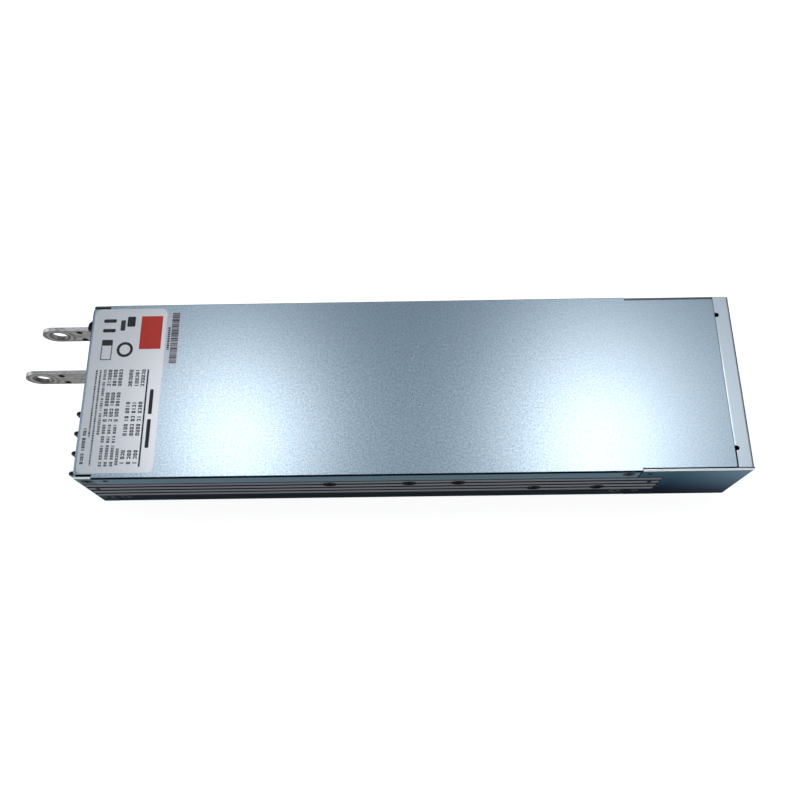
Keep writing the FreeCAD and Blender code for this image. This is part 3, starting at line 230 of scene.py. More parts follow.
def near_line(m, a, b, width):
    """1 within width of the segment a-b in the XY plane (metres), else 0."""
    ax, ay = a
    bx, by = b
    length = math.hypot(bx - ax, by - ay)
    ux, uy = (bx - ax) / length, (by - ay) / length
    x, y = m.axis("X"), m.axis("Y")
    dx, dy = m.math("SUBTRACT", x, ax), m.math("SUBTRACT", y, ay)
    along = m.math("ADD", m.math("MULTIPLY", dx, ux), m.math("MULTIPLY", dy, uy))
    across = m.math("ABSOLUTE", m.math("SUBTRACT", m.math("MULTIPLY", dx, uy), m.math("MULTIPLY", dy, ux)))
    inside = m.math("MULTIPLY", m.math("GREATER_THAN", along, 0.0), m.math("LESS_THAN", along, length))
    return m.math("MULTIPLY", inside, m.span(across, 0.3 * width, width, 1.0, 0.0))


def zone(m, spans):
    """Product of ramps over the object's own coordinates; '|Y' is the distance from the middle plane."""
    v = None
    for axis, a, b in spans:
        c = m.math("ABSOLUTE", m.axis(axis[1])) if axis[0] == "|" else m.axis(axis)
        w = m.span(c, a, b, 0.0, 1.0)
        v = w if v is None else m.math("MULTIPLY", v, w)
    return v


def galvanised(name, light, dark, rough, scratches=(), side_shade=None, foot_shade=1.0, sheen=None, shade_rims=(), burr=(), painted_cut_edges=False, calm=(), along=None):
    """Zinc-coated sheet with a fine grain.

    Faces that look along X are darker, as painted shade. The side tint is
    the painted shade of the faces that look along Y and the fade share what
    is left of it at their foot, so they darken towards the bottom; the sheen
    is their glancing sheen at foot and top, dimmer at the foot as painted
    shade, and the along span brightens them from one X to another as painted
    light. The rims are painted shade on folded or sheared edges and in the
    gaps beside them, and burr the rolled edges that catch the light. A switch
    paints a highlight on the top edge of the near wall and shade on the far
    one; calm lists where the grain is smoother."""
    m = Mat(name)
    fine = m.noise(2100.0, 1.0, 0.5)
    mid = m.noise(950.0, 1.0, 0.5)
    cloud = m.noise(38.0, 3.0, 0.55, warp=0.4)
    hue = m.noise(620.0, 1.0, 0.5)
    grain = m.math("ADD", m.math("MULTIPLY", fine, 0.66), m.math("MULTIPLY", mid, 0.34))
    for spans, share in calm:
        keep = m.math("SUBTRACT", 1.0, m.math("MULTIPLY", zone(m, spans), share))
        grain = m.math("ADD", m.math("MULTIPLY", m.math("SUBTRACT", grain, 0.5), keep), 0.5)
    col = m.ramp(grain, [(0.36, dark), (0.64, light)])
    tint = m.ramp(hue, [(0.34, (0.98, 1.0, 1.015)), (0.66, (1.015, 1.0, 1.005))])
    col = m.mix(1.0, col, tint, "MULTIPLY")
    for a, b, w in scratches:
        col = m.mix(m.math("MULTIPLY", near_line(m, a, b, w), m.span(mid, 0.35, 0.6, 0.1, 0.75)), col, (0.95, 0.97, 0.98))
    # Faces that look along X are darkened: painted shade.
    face_shade = m.span(m.math("ABSOLUTE", m.normal("X")), 0.35, 0.65, 0.0, 1.0)
    col = m.mix(face_shade, col, m.mix(1.0, col, (0.36, 0.36, 0.355), "MULTIPLY"))
    glance = (1.0, 1.0, 1.0)
    if side_shade:
        # Faces that look along Y get a dark tint, darker towards the foot, and a glancing sheen dimmer at the foot:
        # painted shade; the X span lightens them towards one end: painted light.
        turned = m.span(m.math("ABSOLUTE", m.normal("Y")), 0.35, 0.65, 0.0, 1.0)
        shaded_side = m.mix(1.0, col, side_shade, "MULTIPLY")
        if foot_shade < 1.0:
            shaded_side = m.mix(1.0, shaded_side, m.grey(m.span(m.axis("Z"), 0.002, 0.038, foot_shade, 1.0)), "MULTIPLY")
        soft = m.mix(m.span(m.axis("Z"), 0.002, 0.038, 0.0, 1.0), sheen[0], sheen[1])
        if along:
            end_light = m.grey(m.span(m.axis("X"), *along))
            shaded_side = m.mix(1.0, shaded_side, end_light, "MULTIPLY")
            soft = m.mix(1.0, soft, end_light, "MULTIPLY")
        col = m.mix(turned, col, shaded_side)
        glance = m.mix(turned, glance, soft)
    # Near-black lines along bends, sheared edges and the gaps between sheets, with a dim sheen: painted shade.
    for spans, share in shade_rims:
        rim_shade = m.math("MULTIPLY", zone(m, spans), share)
        col = m.mix(rim_shade, col, (0.006, 0.007, 0.011))
        glance = m.mix(rim_shade, glance, (0.10, 0.10, 0.12))
    metallic, lean = 1.0, None
    if painted_cut_edges:
        # The near wall's top edge is painted near white and not metallic: painted highlight; the far wall's top edge is
        # painted dark: painted shade.
        up = m.span(m.normal("Z"), 0.75, 0.9, 0.0, 1.0)
        top = m.math("MULTIPLY", up, zone(m, [("Z", 0.0404, 0.0406), ("Y", -0.04165, -0.04175)]))
        back = m.math("MULTIPLY", up, zone(m, [("Z", 0.0385, 0.0390), ("Z", 0.0406, 0.0404), ("Y", 0.0413, 0.0414)]))
        for spans, share in burr:
            rolled = m.math("MULTIPLY", m.math("MULTIPLY", zone(m, spans), share), m.math("MULTIPLY", up, m.span(mid, 0.40, 0.56, 0.45, 1.0)))
            lean = m.leaning(rolled, -0.10, -0.02)
        col = m.mix(m.math("MULTIPLY", back, 0.85), m.mix(top, col, (0.96, 0.97, 0.98)), (0.05, 0.055, 0.06))
        metallic = m.span(top, 0.0, 1.0, 1.0, 0.0)
    m.set("Base Color", col)
    if isinstance(glance, bpy.types.NodeSocket):
        m.set("Specular Tint", glance)
    m.set("Metallic", metallic)
    r = m.math("ADD", m.span(grain, 0.3, 0.7, rough - 0.004, rough + 0.004), m.span(cloud, 0.3, 0.7, -0.0015, 0.0015))
    m.set("Roughness", r)
    m.bump(grain, 0.02, 0.00005, lean)
    return m.m


def extruded(name, light, dark, rough, sheen=None, spots=()):
    """Extruded aluminium: die lines along X, dull, with lighter edges, partly rubbed wear and partly painted highlight.

    spots lists the spot-faces along Y as (x, z) in millimetres; they are darkened as painted shade."""
    m = Mat(name)
    lines = m.noise(1.0, 3.0, 0.6, vec=m.scaled(14.0, 2600.0, 2600.0))
    grain = m.noise(900.0, 2.0, 0.6)
    col = m.ramp(lines, [(0.32, dark), (0.68, light)])
    # Edges lightened: partly rubbed wear, partly painted highlight.
    col = m.mix(m.math("MULTIPLY", m.edge(0.0004), 0.1 if sheen else 0.5), col, tuple(min(1.0, c * 2.2) for c in light))
    if sheen:
        # Upward faces at the top of the profile, in the gap under the cover, are painted near black: painted shadow.
        face_shade = m.math("MULTIPLY", m.span(m.normal("Z"), 0.8, 0.95, 0.0, 0.9), m.span(m.axis("Z"), 0.0390, 0.0395, 0.0, 1.0))
        col = m.mix(face_shade, col, (0.006, 0.006, 0.007))
    tint = m.ramp(grain, [(0.3, sheen), (0.7, tuple(min(1.0, c * 1.1) for c in sheen))]) if sheen else (1.0, 1.0, 1.0)
    x, z = m.axis("X"), m.axis("Z")
    # The spot-faces are darkened and their sheen dimmed: painted shade in the recesses.
    for sx, sz in spots:
        dx, dz = m.math("SUBTRACT", x, sx * MM), m.math("SUBTRACT", z, sz * MM)
        away = m.math("SQRT", m.math("ADD", m.math("MULTIPLY", dx, dx), m.math("MULTIPLY", dz, dz)))
        inside = m.span(away, 3.5 * MM, 3.2 * MM, 0.0, 1.0)
        col = m.mix(inside, col, tuple(c * 0.75 for c in dark))
        tint = m.mix(inside, tint, (0.28, 0.28, 0.30))
    m.set("Base Color", col)
    m.set("Metallic", 1.0)
    if sheen:
        m.set("Specular Tint", tint)
    m.set("Roughness", m.span(grain, 0.3, 0.7, rough - 0.06, rough + 0.06))
    m.bump(lines, 0.3, 0.00005)
    return m.m


def metal(name, light, dark, rough, scale=700.0, spots=None, edge=0.4, sheen=None):
    """Plated or turned metal with a fine mottled finish."""
    m = Mat(name)
    grain = m.noise(scale, 3.0, 0.6)
    cloud = m.noise(scale * 0.12, 3.0, 0.6, warp=0.5)
    col = m.ramp(grain, [(0.33, dark), (0.67, light)])
    if spots:
        col = m.mix(m.span(cloud, spots[0], spots[1], 0.0, 0.85), col, spots[2])
    # Edges lightened by the edge share: painted highlight.
    col = m.mix(m.math("MULTIPLY", m.edge(0.00025), edge), col, tuple(min(1.0, c * 1.35) for c in light))
    m.set("Base Color", col)
    if sheen:
        m.set("Specular Tint", m.ramp(cloud, [(0.3, sheen), (0.7, tuple(min(1.0, c * 1.15) for c in sheen))]))
    m.set("Metallic", 1.0)
    m.set("Roughness", m.span(cloud, 0.3, 0.7, rough - 0.07, rough + 0.08))
    m.bump(grain, 0.12, 0.00005)
    return m.m


def tinned(name, light, dark, rough, side_shade, top, hole, small):
    """Tinned copper bar: drawn streaks, smudges and a washer's print, with painted shade on its edges, ends and lower
    flat faces and in and around its bores.

    The side share darkens the flat faces as painted shade, and top is the
    lighter tone of the upper edge, painted light; hole and small list the
    bores along Y as (x, z, radius) in millimetres."""
    m = Mat(name)
    grain = m.noise(900.0, 2.0, 0.6)
    streak = m.noise(1.0, 3.0, 0.6, vec=m.scaled(90.0, 900.0, 900.0, turn=(0.0, 0.25, 0.0)))
    cloud = m.noise(210.0, 3.0, 0.6, warp=0.6)
    tone = m.math("ADD", m.math("MULTIPLY", grain, 0.5), m.math("MULTIPLY", streak, 0.5))
    col = m.ramp(tone, [(0.34, dark), (0.66, light)])
    # Upward faces take the top tone, lighter than the flat faces: painted light.
    up = m.span(m.normal("Z"), 0.6, 0.9, 0.0, 1.0)
    col = m.mix(up, col, m.mix(m.span(tone, 0.3, 0.7, 0.0, 1.0), tuple(c * 0.7 for c in top), top))
    col = m.mix(m.span(cloud, 0.56, 0.70, 0.0, 0.6), col, (0.14, 0.135, 0.13))
    turned = m.span(m.math("ABSOLUTE", m.normal("Y")), 0.55, 0.9, 0.0, 1.0)
    # Faces that look along Y are darkened by the side share: painted shade.
    col = m.mix(turned, col, m.mix(1.0, col, (side_shade, side_shade, side_shade), "MULTIPLY"))
    # Faces that look along X are darkened: painted shade.
    col = m.mix(m.span(m.math("ABSOLUTE", m.normal("X")), 0.2, 0.6, 0.0, 0.85), col, (0.20, 0.198, 0.195))
    x, z = m.axis("X"), m.axis("Z")
    # Edges are darkened: painted shade.
    edge_shade = m.math("MULTIPLY", m.edge(0.00045), 0.8)
    for k, (hx, hz, r) in enumerate((hole,) + tuple(small)):
        dx, dz = m.math("SUBTRACT", x, hx * MM), m.math("SUBTRACT", z, hz * MM)
        away = m.math("SQRT", m.math("ADD", m.math("MULTIPLY", dx, dx), m.math("MULTIPLY", dz, dz)))
        if k == 0:
            print_ring = m.math("ABSOLUTE", m.math("SUBTRACT", away, 6.9 * MM))
            col = m.mix(m.math("MULTIPLY", m.span(print_ring, 0.0003, 0.0008, 0.75, 0.0), m.math("MULTIPLY", turned, m.span(streak, 0.35, 0.6, 0.5, 1.0))), col, (0.03, 0.029, 0.028))
            # The bore wall and a ring around the bore are darkened: painted shade.
            bore_shade = m.span(away, (r + 0.06) * MM, (r + 0.02) * MM, 0.0, 1.0)
            edge_shade = m.math("MULTIPLY", edge_shade, m.span(away, (r + 0.02) * MM, (r + 0.06) * MM, 0.0, 1.0))
            rim_shade = m.math("SUBTRACT", m.span(away, (r + 1.1) * MM, (r + 0.5) * MM, 0.0, 0.92), bore_shade, clamp=True)
            col = m.mix(rim_shade, m.mix(bore_shade, col, (0.17, 0.17, 0.165)), (0.03, 0.029, 0.028))
        else:
            # The colour around the small bores is darkened: painted shade.
            col = m.mix(m.span(away, (r + 0.6) * MM, (r + 0.2) * MM, 0.0, 0.95), col, (0.015, 0.015, 0.015))
    col = m.mix(edge_shade, col, (0.06, 0.058, 0.056))
    # Flat faces below 20.3 mm are darkened, darker towards the bottom: painted shade.
    col = m.mix(m.math("MULTIPLY", turned, m.span(z, 20.8 * MM, 20.3 * MM, 0.0, 0.85)), col, (0.03, 0.029, 0.028))
    m.set("Base Color", col)
    # Dimmer glancing sheen on faces that look along Y: painted shade.
    m.set("Specular Tint", m.mix(turned, (1.0, 1.0, 1.0), (0.62, 0.62, 0.62)))
    m.set("Metallic", 1.0)
    m.set("Roughness", m.span(cloud, 0.3, 0.7, rough - 0.06, rough + 0.08))
    m.bump(tone, 0.18, 0.00006)
    return m.m


def plastic(name, light, dark, rough, scale=1400.0, bump=0.25, gloss=0.5):
    """Moulded plastic with a fine spark-eroded texture and lighter edges, partly rubbed wear and partly painted
    highlight.
    """
    m = Mat(name)
    grain = m.noise(scale, 2.0, 0.55)
    cloud = m.noise(scale * 0.06, 2.0, 0.5)
    col = m.ramp(cloud, [(0.3, dark), (0.7, light)])
    # Edges lightened: partly rubbed wear, partly painted highlight.
    col = m.mix(m.math("MULTIPLY", m.edge(0.0003), 0.35), col, tuple(min(1.0, c * 2.2 + 0.01) for c in light))
    m.set("Base Color", col)
    m.set("Roughness", m.span(grain, 0.3, 0.7, rough - 0.06, rough + 0.06))
    m.set("Specular IOR Level", gloss)
    m.bump(grain, bump, 0.00005)
    return m.m


def film(name, light, dark, rough, silver=0.0):
    """Printed label film: soft, matt, with paper-like fibre, more or less silvery."""
    m = Mat(name)
    fibre = m.noise(1.0, 4.0, 0.6, vec=m.scaled(900.0, 420.0, 900.0))
    cloud = m.noise(45.0, 2.0, 0.5)
    col = m.ramp(m.math("ADD", m.math("MULTIPLY", fibre, 0.5), m.math("MULTIPLY", cloud, 0.5)), [(0.34, dark), (0.66, light)])
    m.set("Base Color", col)
    m.set("Roughness", m.span(fibre, 0.3, 0.7, rough - 0.008, rough + 0.008))
    m.set("Specular IOR Level", 0.35)
    m.set("Metallic", silver)
    m.bump(fibre, 0.10, 0.00003)
    return m.m


def board(name):
    """Solder-masked circuit board with a hint of copper tracks."""
    m = Mat(name)
    tracks = m.cells(160.0, vec=m.scaled(1.0, 2.4, 1.0))
    grain = m.noise(1800.0, 2.0, 0.5)
    col = m.ramp(tracks, [(0.0, (0.010, 0.070, 0.030)), (0.45, (0.014, 0.095, 0.040)), (0.55, (0.020, 0.135, 0.060)), (1.0, (0.026, 0.150, 0.066))])
    m.set("Base Color", col)
    m.set("Roughness", m.span(grain, 0.3, 0.7, 0.28, 0.42))
    m.bump(tracks, 0.2, 0.00004)
    return m.m


def wound(name):
    """Enamelled wire laid side by side."""
    m = Mat(name)
    turns = m.t.nodes.new("ShaderNodeTexWave")
    turns.wave_type = "BANDS"
    turns.bands_direction = "DIAGONAL"
    turns.inputs["Scale"].default_value = 260.0
    turns.inputs["Distortion"].default_value = 1.2
    m.link(m.co, turns.inputs["Vector"])
    col = m.ramp(turns.outputs["Fac"], [(0.0, (0.09, 0.030, 0.010)), (0.5, (0.42, 0.17, 0.055)), (1.0, (0.62, 0.30, 0.12))])
    m.set("Base Color", col)
    m.set("Metallic", 0.85)
    m.set("Roughness", m.span(m.noise(700.0), 0.3, 0.7, 0.28, 0.42))
    m.bump(turns.outputs["Fac"], 0.6, 0.0003)
    return m.m


def lamp(name):
    """Tinted, clear moulded lens."""
    m = Mat(name)
    swirl = m.noise(600.0, 2.0, 0.5)
    m.set("Base Color", m.ramp(swirl, [(0.3, (0.10, 0.52, 0.14)), (0.7, (0.16, 0.66, 0.20))]))
    m.set("Roughness", m.span(swirl, 0.3, 0.7, 0.08, 0.16))
    m.set("Transmission Weight", 0.35)
    return m.m


MATS = {
    # The zinc sheets carry painted shade: dark tints and dimmer sheens on their side faces, darker towards the foot,
    # and dark rims along bends and gaps; the fan box's along span is painted light towards its rear end.
    "top": galvanised("zinc_top", (0.765, 0.90, 0.98), (0.425, 0.54, 0.64), 0.281, side_shade=(0.070, 0.100, 0.114), sheen=((0.57, 0.67, 0.72), (0.57, 0.67, 0.72)),
                      shade_rims=[([("|Y", 0.04198, 0.0422), ("Z", 0.0391, 0.0397)], 0.96), ([("X", -0.14945, -0.14975), ("Z", 0.0395, 0.0400), ("Y", -0.012, 0.03)], 0.75),
                            ([("X", -0.1417, -0.1419), ("|Y", 0.04040, 0.04060), ("Z", 0.0395, 0.0400)], 0.96),
                            ([("X", 0.1010, 0.1012), ("|Y", 0.04075, 0.04095), ("Z", 0.0395, 0.0400)], 0.9),
                            ([("X", 0.1006, 0.1009), ("|Y", 0.0420, 0.0422), ("Z", 0.0397, 0.0393)], 0.8),
                            ([("X", 0.1421, 0.14235), ("Z", 0.0395, 0.0400)], 0.3)],
                      calm=[([("X", 0.06, 0.11)], 0.5), ([("Y", 0.0, 0.035)], 0.4)],
                      scratches=[((0.0003, 0.0098), (0.0034, 0.0195), 0.00028), ((-0.0012, 0.0035), (-0.0002, 0.0080), 0.0002)]),
    # The bottom cover's zinc is a darker copy of the top cover's, with near-black sides: painted shade.
    "base": galvanised("zinc_base", (0.36, 0.42, 0.48), (0.26, 0.31, 0.365), 0.36, side_shade=(0.024, 0.026, 0.027), sheen=((0.33, 0.365, 0.39), (0.33, 0.365, 0.39))),
    "panel": galvanised("zinc_panel", (0.66, 0.72, 0.76), (0.50, 0.56, 0.61), 0.32, side_shade=(0.07, 0.10, 0.11), foot_shade=0.25, sheen=((0.34, 0.37, 0.41), (0.56, 0.66, 0.68)), painted_cut_edges=True),
    "fanbox": galvanised("zinc_fanbox", (0.87, 0.965, 1.0), (0.80, 0.895, 0.975), 0.315, side_shade=(0.048, 0.072, 0.090), foot_shade=0.05, sheen=((0.27, 0.285, 0.33), (0.44, 0.54, 0.61)),
                         shade_rims=[([("X", 0.1488, 0.1492), ("Z", 0.0390, 0.0400)], 0.9)],
                         burr=[([("X", 0.1423, 0.1425), ("X", 0.1432, 0.1429), ("Z", 0.0404, 0.0406), ("Y", 0.022, 0.004)], 1.0)],
                         calm=[([("Z", -0.002, -0.001)], 0.72)], painted_cut_edges=True, along=(0.118, 0.150, 0.95, 1.36)),
    "rib": extruded("aluminium_ribbed", (0.108, 0.113, 0.122), (0.070, 0.074, 0.081), 0.40, sheen=(0.66, 0.68, 0.72),
                    spots=((-37.7, 25.75), (-1.4, 25.75), (21.0, 25.75), (56.6, 15.03), (86.1, 15.03))),
    "screw": metal("zinc_screw", (0.075, 0.080, 0.085), (0.034, 0.036, 0.038), 0.38, edge=0.5, sheen=(0.36, 0.38, 0.40)),
    "dark_screw": metal("black_oxide", (0.035, 0.034, 0.034), (0.018, 0.018, 0.018), 0.42, sheen=(0.36, 0.36, 0.37)),
    "black": plastic("black_moulding", (0.005, 0.005, 0.006), (0.003, 0.003, 0.0035), 0.46, gloss=0.16),
    "fan": plastic("black_fan", (0.020, 0.020, 0.021), (0.012, 0.012, 0.013), 0.40, scale=1000.0),
    "steel": metal("ground_steel", (0.74, 0.74, 0.75), (0.58, 0.58, 0.60), 0.22),
    "magnet": plastic("ring_magnet", (0.085, 0.08, 0.078), (0.05, 0.048, 0.047), 0.55),
    "bronze": metal("sintered_bronze", (0.52, 0.39, 0.22), (0.34, 0.24, 0.13), 0.45),
    "iron": extruded("stator_iron", (0.40, 0.40, 0.42), (0.24, 0.24, 0.25), 0.45),
    "lead": plastic("lead_sleeve", (0.03, 0.03, 0.032), (0.016, 0.016, 0.017), 0.5),
    "contact": metal("nickel_contact", (0.76, 0.73, 0.66), (0.56, 0.53, 0.47), 0.26),
    # The near and far bars are copies of one tinned copper toned apart, and the far bar's upper edge is near white:
    # painted light and shade.
    "bar_near": tinned("tinned_bar_near", (0.66, 0.65, 0.63), (0.38, 0.372, 0.36), 0.38, 0.485, (0.70, 0.70, 0.69), (-176.4, 25.8, 4.0), ((-166.0, 29.8, 1.2), (-166.0, 21.8, 1.2))),
    "bar_far": tinned("tinned_bar_far", (0.68, 0.67, 0.65), (0.40, 0.392, 0.38), 0.38, 0.46, (0.97, 0.97, 0.97), (-171.4, 25.8, 4.0), ((-160.3, 29.8, 1.2), (-160.3, 21.8, 1.2))),
    "nylon": plastic("nylon_cream", (0.74, 0.72, 0.64), (0.66, 0.64, 0.57), 0.42),
    "gold": metal("gold_pin", (0.86, 0.66, 0.28), (0.66, 0.48, 0.18), 0.24),
    "blue": plastic("trimmer_blue", (0.03, 0.10, 0.40), (0.02, 0.075, 0.32), 0.30),
    "white": plastic("trimmer_white", (0.74, 0.73, 0.69), (0.66, 0.65, 0.61), 0.34),
    "lamp": lamp("lamp_green"),
    "label": film("label_film", (0.95, 0.955, 0.985), (0.91, 0.915, 0.95), 0.286, silver=0.65),
    "strip": film("strip_film", (0.68, 0.71, 0.76), (0.64, 0.67, 0.72), 0.286, silver=0.75),
    "board": board("board_green"),
    "mylar": plastic("mylar_sheet", (0.62, 0.60, 0.52), (0.52, 0.50, 0.43), 0.25),
    "ceramic": plastic("fuse_ceramic", (0.74, 0.73, 0.69), (0.62, 0.61, 0.57), 0.30),
    "relay": plastic("relay_case", (0.06, 0.06, 0.07), (0.04, 0.04, 0.045), 0.32),
    "yellow": plastic("film_capacitor", (0.62, 0.42, 0.05), (0.52, 0.34, 0.035), 0.38),
    "wound": wound("wound_wire"),
    "epoxy": plastic("device_epoxy", (0.03, 0.03, 0.032), (0.018, 0.018, 0.02), 0.5),
    "pad": plastic("pad_rubber", (0.42, 0.43, 0.45), (0.34, 0.35, 0.37), 0.6),
    "sleeve": plastic("capacitor_sleeve", (0.025, 0.03, 0.06), (0.015, 0.018, 0.04), 0.26),
    "ferrite": plastic("ferrite", (0.09, 0.088, 0.09), (0.055, 0.054, 0.056), 0.55),
    "ink": film("ink_black", (0.022, 0.022, 0.026), (0.014, 0.014, 0.017), 0.5),
    "ink_grey": film("ink_grey", (0.040, 0.040, 0.048), (0.026, 0.026, 0.032), 0.5),
    "ink_red": film("ink_red", (0.56, 0.040, 0.030), (0.48, 0.030, 0.022), 0.45),
}

SLOT = {
    "galvanised_sheet": "panel", "heatsink_aluminium": "rib", "zinc_screw": "screw", "dark_screw": "dark_screw",
    "black_moulding": "black", "shaft_steel": "steel", "ring_magnet": "magnet", "sintered_bronze": "bronze",
    "stator_iron": "iron", "lead_sleeve": "lead", "plated_contact": "contact", "tinned_copper": "bar_near",
    "connector_nylon": "nylon", "gold_pin": "gold", "trimmer_blue": "blue", "trimmer_white": "white",
    "led_green": "lamp", "label_film": "label", "board_green": "board", "insulating_film": "mylar",
    "fuse_ceramic": "ceramic", "relay_case": "relay", "capacitor_yellow": "yellow", "wound_copper": "wound",
    "device_epoxy": "epoxy", "pad_rubber": "pad", "capacitor_sleeve": "sleeve", "ferrite": "ferrite",
}
SPECIAL = {"busbar_negative": "bar_far", "top_cover": "top", "bottom_cover": "base", "fan_housing": "fanbox", "serial_label": "strip",
           "fan_frame_near": "fan", "fan_frame_far": "fan", "fan_impeller_near": "fan", "fan_impeller_far": "fan"}
for sub in RECORD["subparts"]:
    n = sub["node"]
    mat = MATS[SPECIAL.get(n, SLOT[sub["material_slot"]])]
    ms = NODES[n].data.materials
    ms.clear()
    ms.append(mat)


def soften(node, width, segments=2):
    """Small rounding of a CAD node's sharp edges, by modifier."""
    b = NODES[node].modifiers.new("edge", "BEVEL")
    b.width = width
    b.segments = segments
    b.limit_method = "ANGLE"
    b.angle_limit = math.radians(40)
    b.harden_normals = False
    b.use_clamp_overlap = True


# ------------------------------------------------------- label and print


def new_piece(name, bm, mat, body="case"):
    me = bpy.data.meshes.new(name)
    bm.to_mesh(me)
    bm.free()
    o = bpy.data.objects.new(name, me)
    scene.collection.objects.link(o)
    me.materials.append(MATS[mat])
    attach(o, body)
    return o


def slab(bm, outline, z0, z1):
    """Closed thin plate on an outline of (x, y) points, in metres."""
    low = [bm.verts.new((x, y, z0)) for x, y in outline]
    high = [bm.verts.new((x, y, z1)) for x, y in outline]
    bm.faces.new(list(reversed(low)))
    bm.faces.new(high)
    k = len(outline)
    for i in range(k):
        j = (i + 1) % k
        bm.faces.new((low[i], low[j], high[j], high[i]))


def rect(x0, x1, y0, y1, r=0.0, n=6):
    """Counter-clockwise rectangle, corners rounded by r; all in millimetres."""
    if r <= 0:
        pts = [(x0, y0), (x1, y0), (x1, y1), (x0, y1)]
    else:
        pts = []
        for cx, cy, a0 in ((x1 - r, y0 + r, -90), (x1 - r, y1 - r, 0), (x0 + r, y1 - r, 90), (x0 + r, y0 + r, 180)):
            for i in range(n + 1):
                a = math.radians(a0 + 90.0 * i / n)
                pts.append((cx + r * math.cos(a), cy + r * math.sin(a)))
    return [(x * MM, y * MM) for x, y in pts]


def frame_ring(bm, outer, inner, z0, z1):
    """Closed plate between two outlines of equal point count."""
    k = len(outer)
    rows = [[bm.verts.new((x, y, z)) for x, y in ring] for ring, z in
            ((outer, z0), (inner, z0), (inner, z1), (outer, z1))]
    for i in range(k):
        j = (i + 1) % k
        for a in range(4):
            b = (a + 1) % 4
            bm.faces.new((rows[a][j], rows[a][i], rows[b][i], rows[b][j]))


lo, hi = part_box("rating_label")
LABEL_Z = lo.z
FACE_Z = lo.z + 0.060 * MM
PRINT_Z = lo.z + 0.074 * MM

bm = bmesh.new()
slab(bm, rect(lo.x / MM, hi.x / MM, lo.y / MM, hi.y / MM, 3.0, 10), LABEL_Z, FACE_Z)
label = new_piece("label_sheet", bm, "label")
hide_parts("rating_label")

slo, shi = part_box("serial_label")
bm = bmesh.new()
slab(bm, rect(slo.x / MM, shi.x / MM, slo.y / MM, shi.y / MM, 0.6, 4), LABEL_Z, FACE_Z)
strip = new_piece("serial_sheet", bm, "strip")
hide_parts("serial_label")

rng = random.Random(11)


def words(bm, x0, x1, y_from, y_to, short, long, gap):
    """A line of small print as a row of plain dashes, running towards -Y."""
    y = y_from
    while y > y_to + short * 0.5:
        w = min(rng.uniform(short, long), y - y_to)
        slab(bm, rect(x0, x1, y - w, y, min(0.12, (x1 - x0) * 0.2), 2), FACE_Z, PRINT_Z)
        y -= w + gap


def marks(bm, x0, x1, y_from, y_to, wide, stroke, groups=()):
    """A line of plain stroke marks, running towards -Y, with a space after each group."""
    y = y_from
    count = 0
    gaps = list(groups)
    while y - wide > y_to - 1e-6:
        a, b = y - wide, y
        kind = rng.choice(("frame", "frame", "cup", "cap", "pair", "bar"))
        if kind == "frame":
            frame_ring(bm, rect(x0, x1, a, b, 0.3 * wide, 3), rect(x0 + stroke, x1 - stroke, a + stroke, b - stroke, 0.15 * wide, 3), FACE_Z, PRINT_Z)
        elif kind in ("cup", "cap"):
            slab(bm, rect(x0, x1, b - stroke, b), FACE_Z, PRINT_Z)
            slab(bm, rect(x0, x1, a, a + stroke), FACE_Z, PRINT_Z)
            e = x0 if kind == "cup" else x1 - stroke
            slab(bm, rect(e, e + stroke, a + stroke, b - stroke), FACE_Z, PRINT_Z)
        elif kind == "pair":
            for e in (x0 + 0.08, x1 - 0.08 - stroke):
                slab(bm, rect(e, e + stroke, a, b), FACE_Z, PRINT_Z)
            slab(bm, rect(x0 + 0.08 + stroke, x1 - 0.08 - stroke, b - stroke, b), FACE_Z, PRINT_Z)
        else:
            slab(bm, rect(x0, x1, (a + b - stroke) / 2, (a + b + stroke) / 2), FACE_Z, PRINT_Z)
        y -= wide * 1.32
        count += 1
        if gaps and count == gaps[0]:
            y -= wide * 0.9
            gaps.pop(0)
            count = 0


black = bmesh.new()
grey = bmesh.new()
red = bmesh.new()

# rule beside the heading, and the heading as two plain bars
slab(black, rect(-121.4, -120.65, -37.3, 9.3), FACE_Z, PRINT_Z)
slab(black, rect(-119.3, -117.6, -12.6, -0.6, 0.4, 3), FACE_Z, PRINT_Z)
slab(black, rect(-119.3, -117.6, -28.6, -15.0, 0.4, 3), FACE_Z, PRINT_Z)
# three lines of input values, in three columns
for x in (-122.2, -125.0, -127.9):
    marks(black, x - 1.8, x, 9.3, -0.5, 1.1, 0.44)
    marks(black, x - 1.8, x, -6.6, -23.0, 1.1, 0.44, (4, 2))
    marks(black, x - 1.8, x, -29.6, -37.4, 1.1, 0.44, (3,))
# four lines of output values
marks(grey, -132.0, -130.6, -28.8, -37.2, 0.85, 0.34)
for x in (-132.7, -135.2, -137.7):
    marks(black, x - 1.75, x, 9.4, 0.3, 1.05, 0.42)
    marks(black, x - 1.75, x, -1.9, -16.6, 1.05, 0.42, (5, 3))
    marks(grey, x - 1.6, x - 0.2, -17.4, -37.2, 0.88, 0.36, (4, 3, 6))
# small print
marks(grey, -141.6, -140.4, 9.4, -22.2, 0.8, 0.30, (5, 7, 6))
words(grey, -143.5, -142.7, 9.3, -36.8, 0.4, 1.0, 0.3)
words(grey, -145.3, -144.5, 9.3, -23.2, 0.4, 1.0, 0.3)
marks(black, -147.7, -146.2, -18.8, -36.6, 0.98, 0.40, (3, 5))

# plain coloured block
slab(red, rect(-126.6, -116.5, 19.6, 36.5, 0.3, 2), FACE_Z, PRINT_Z)

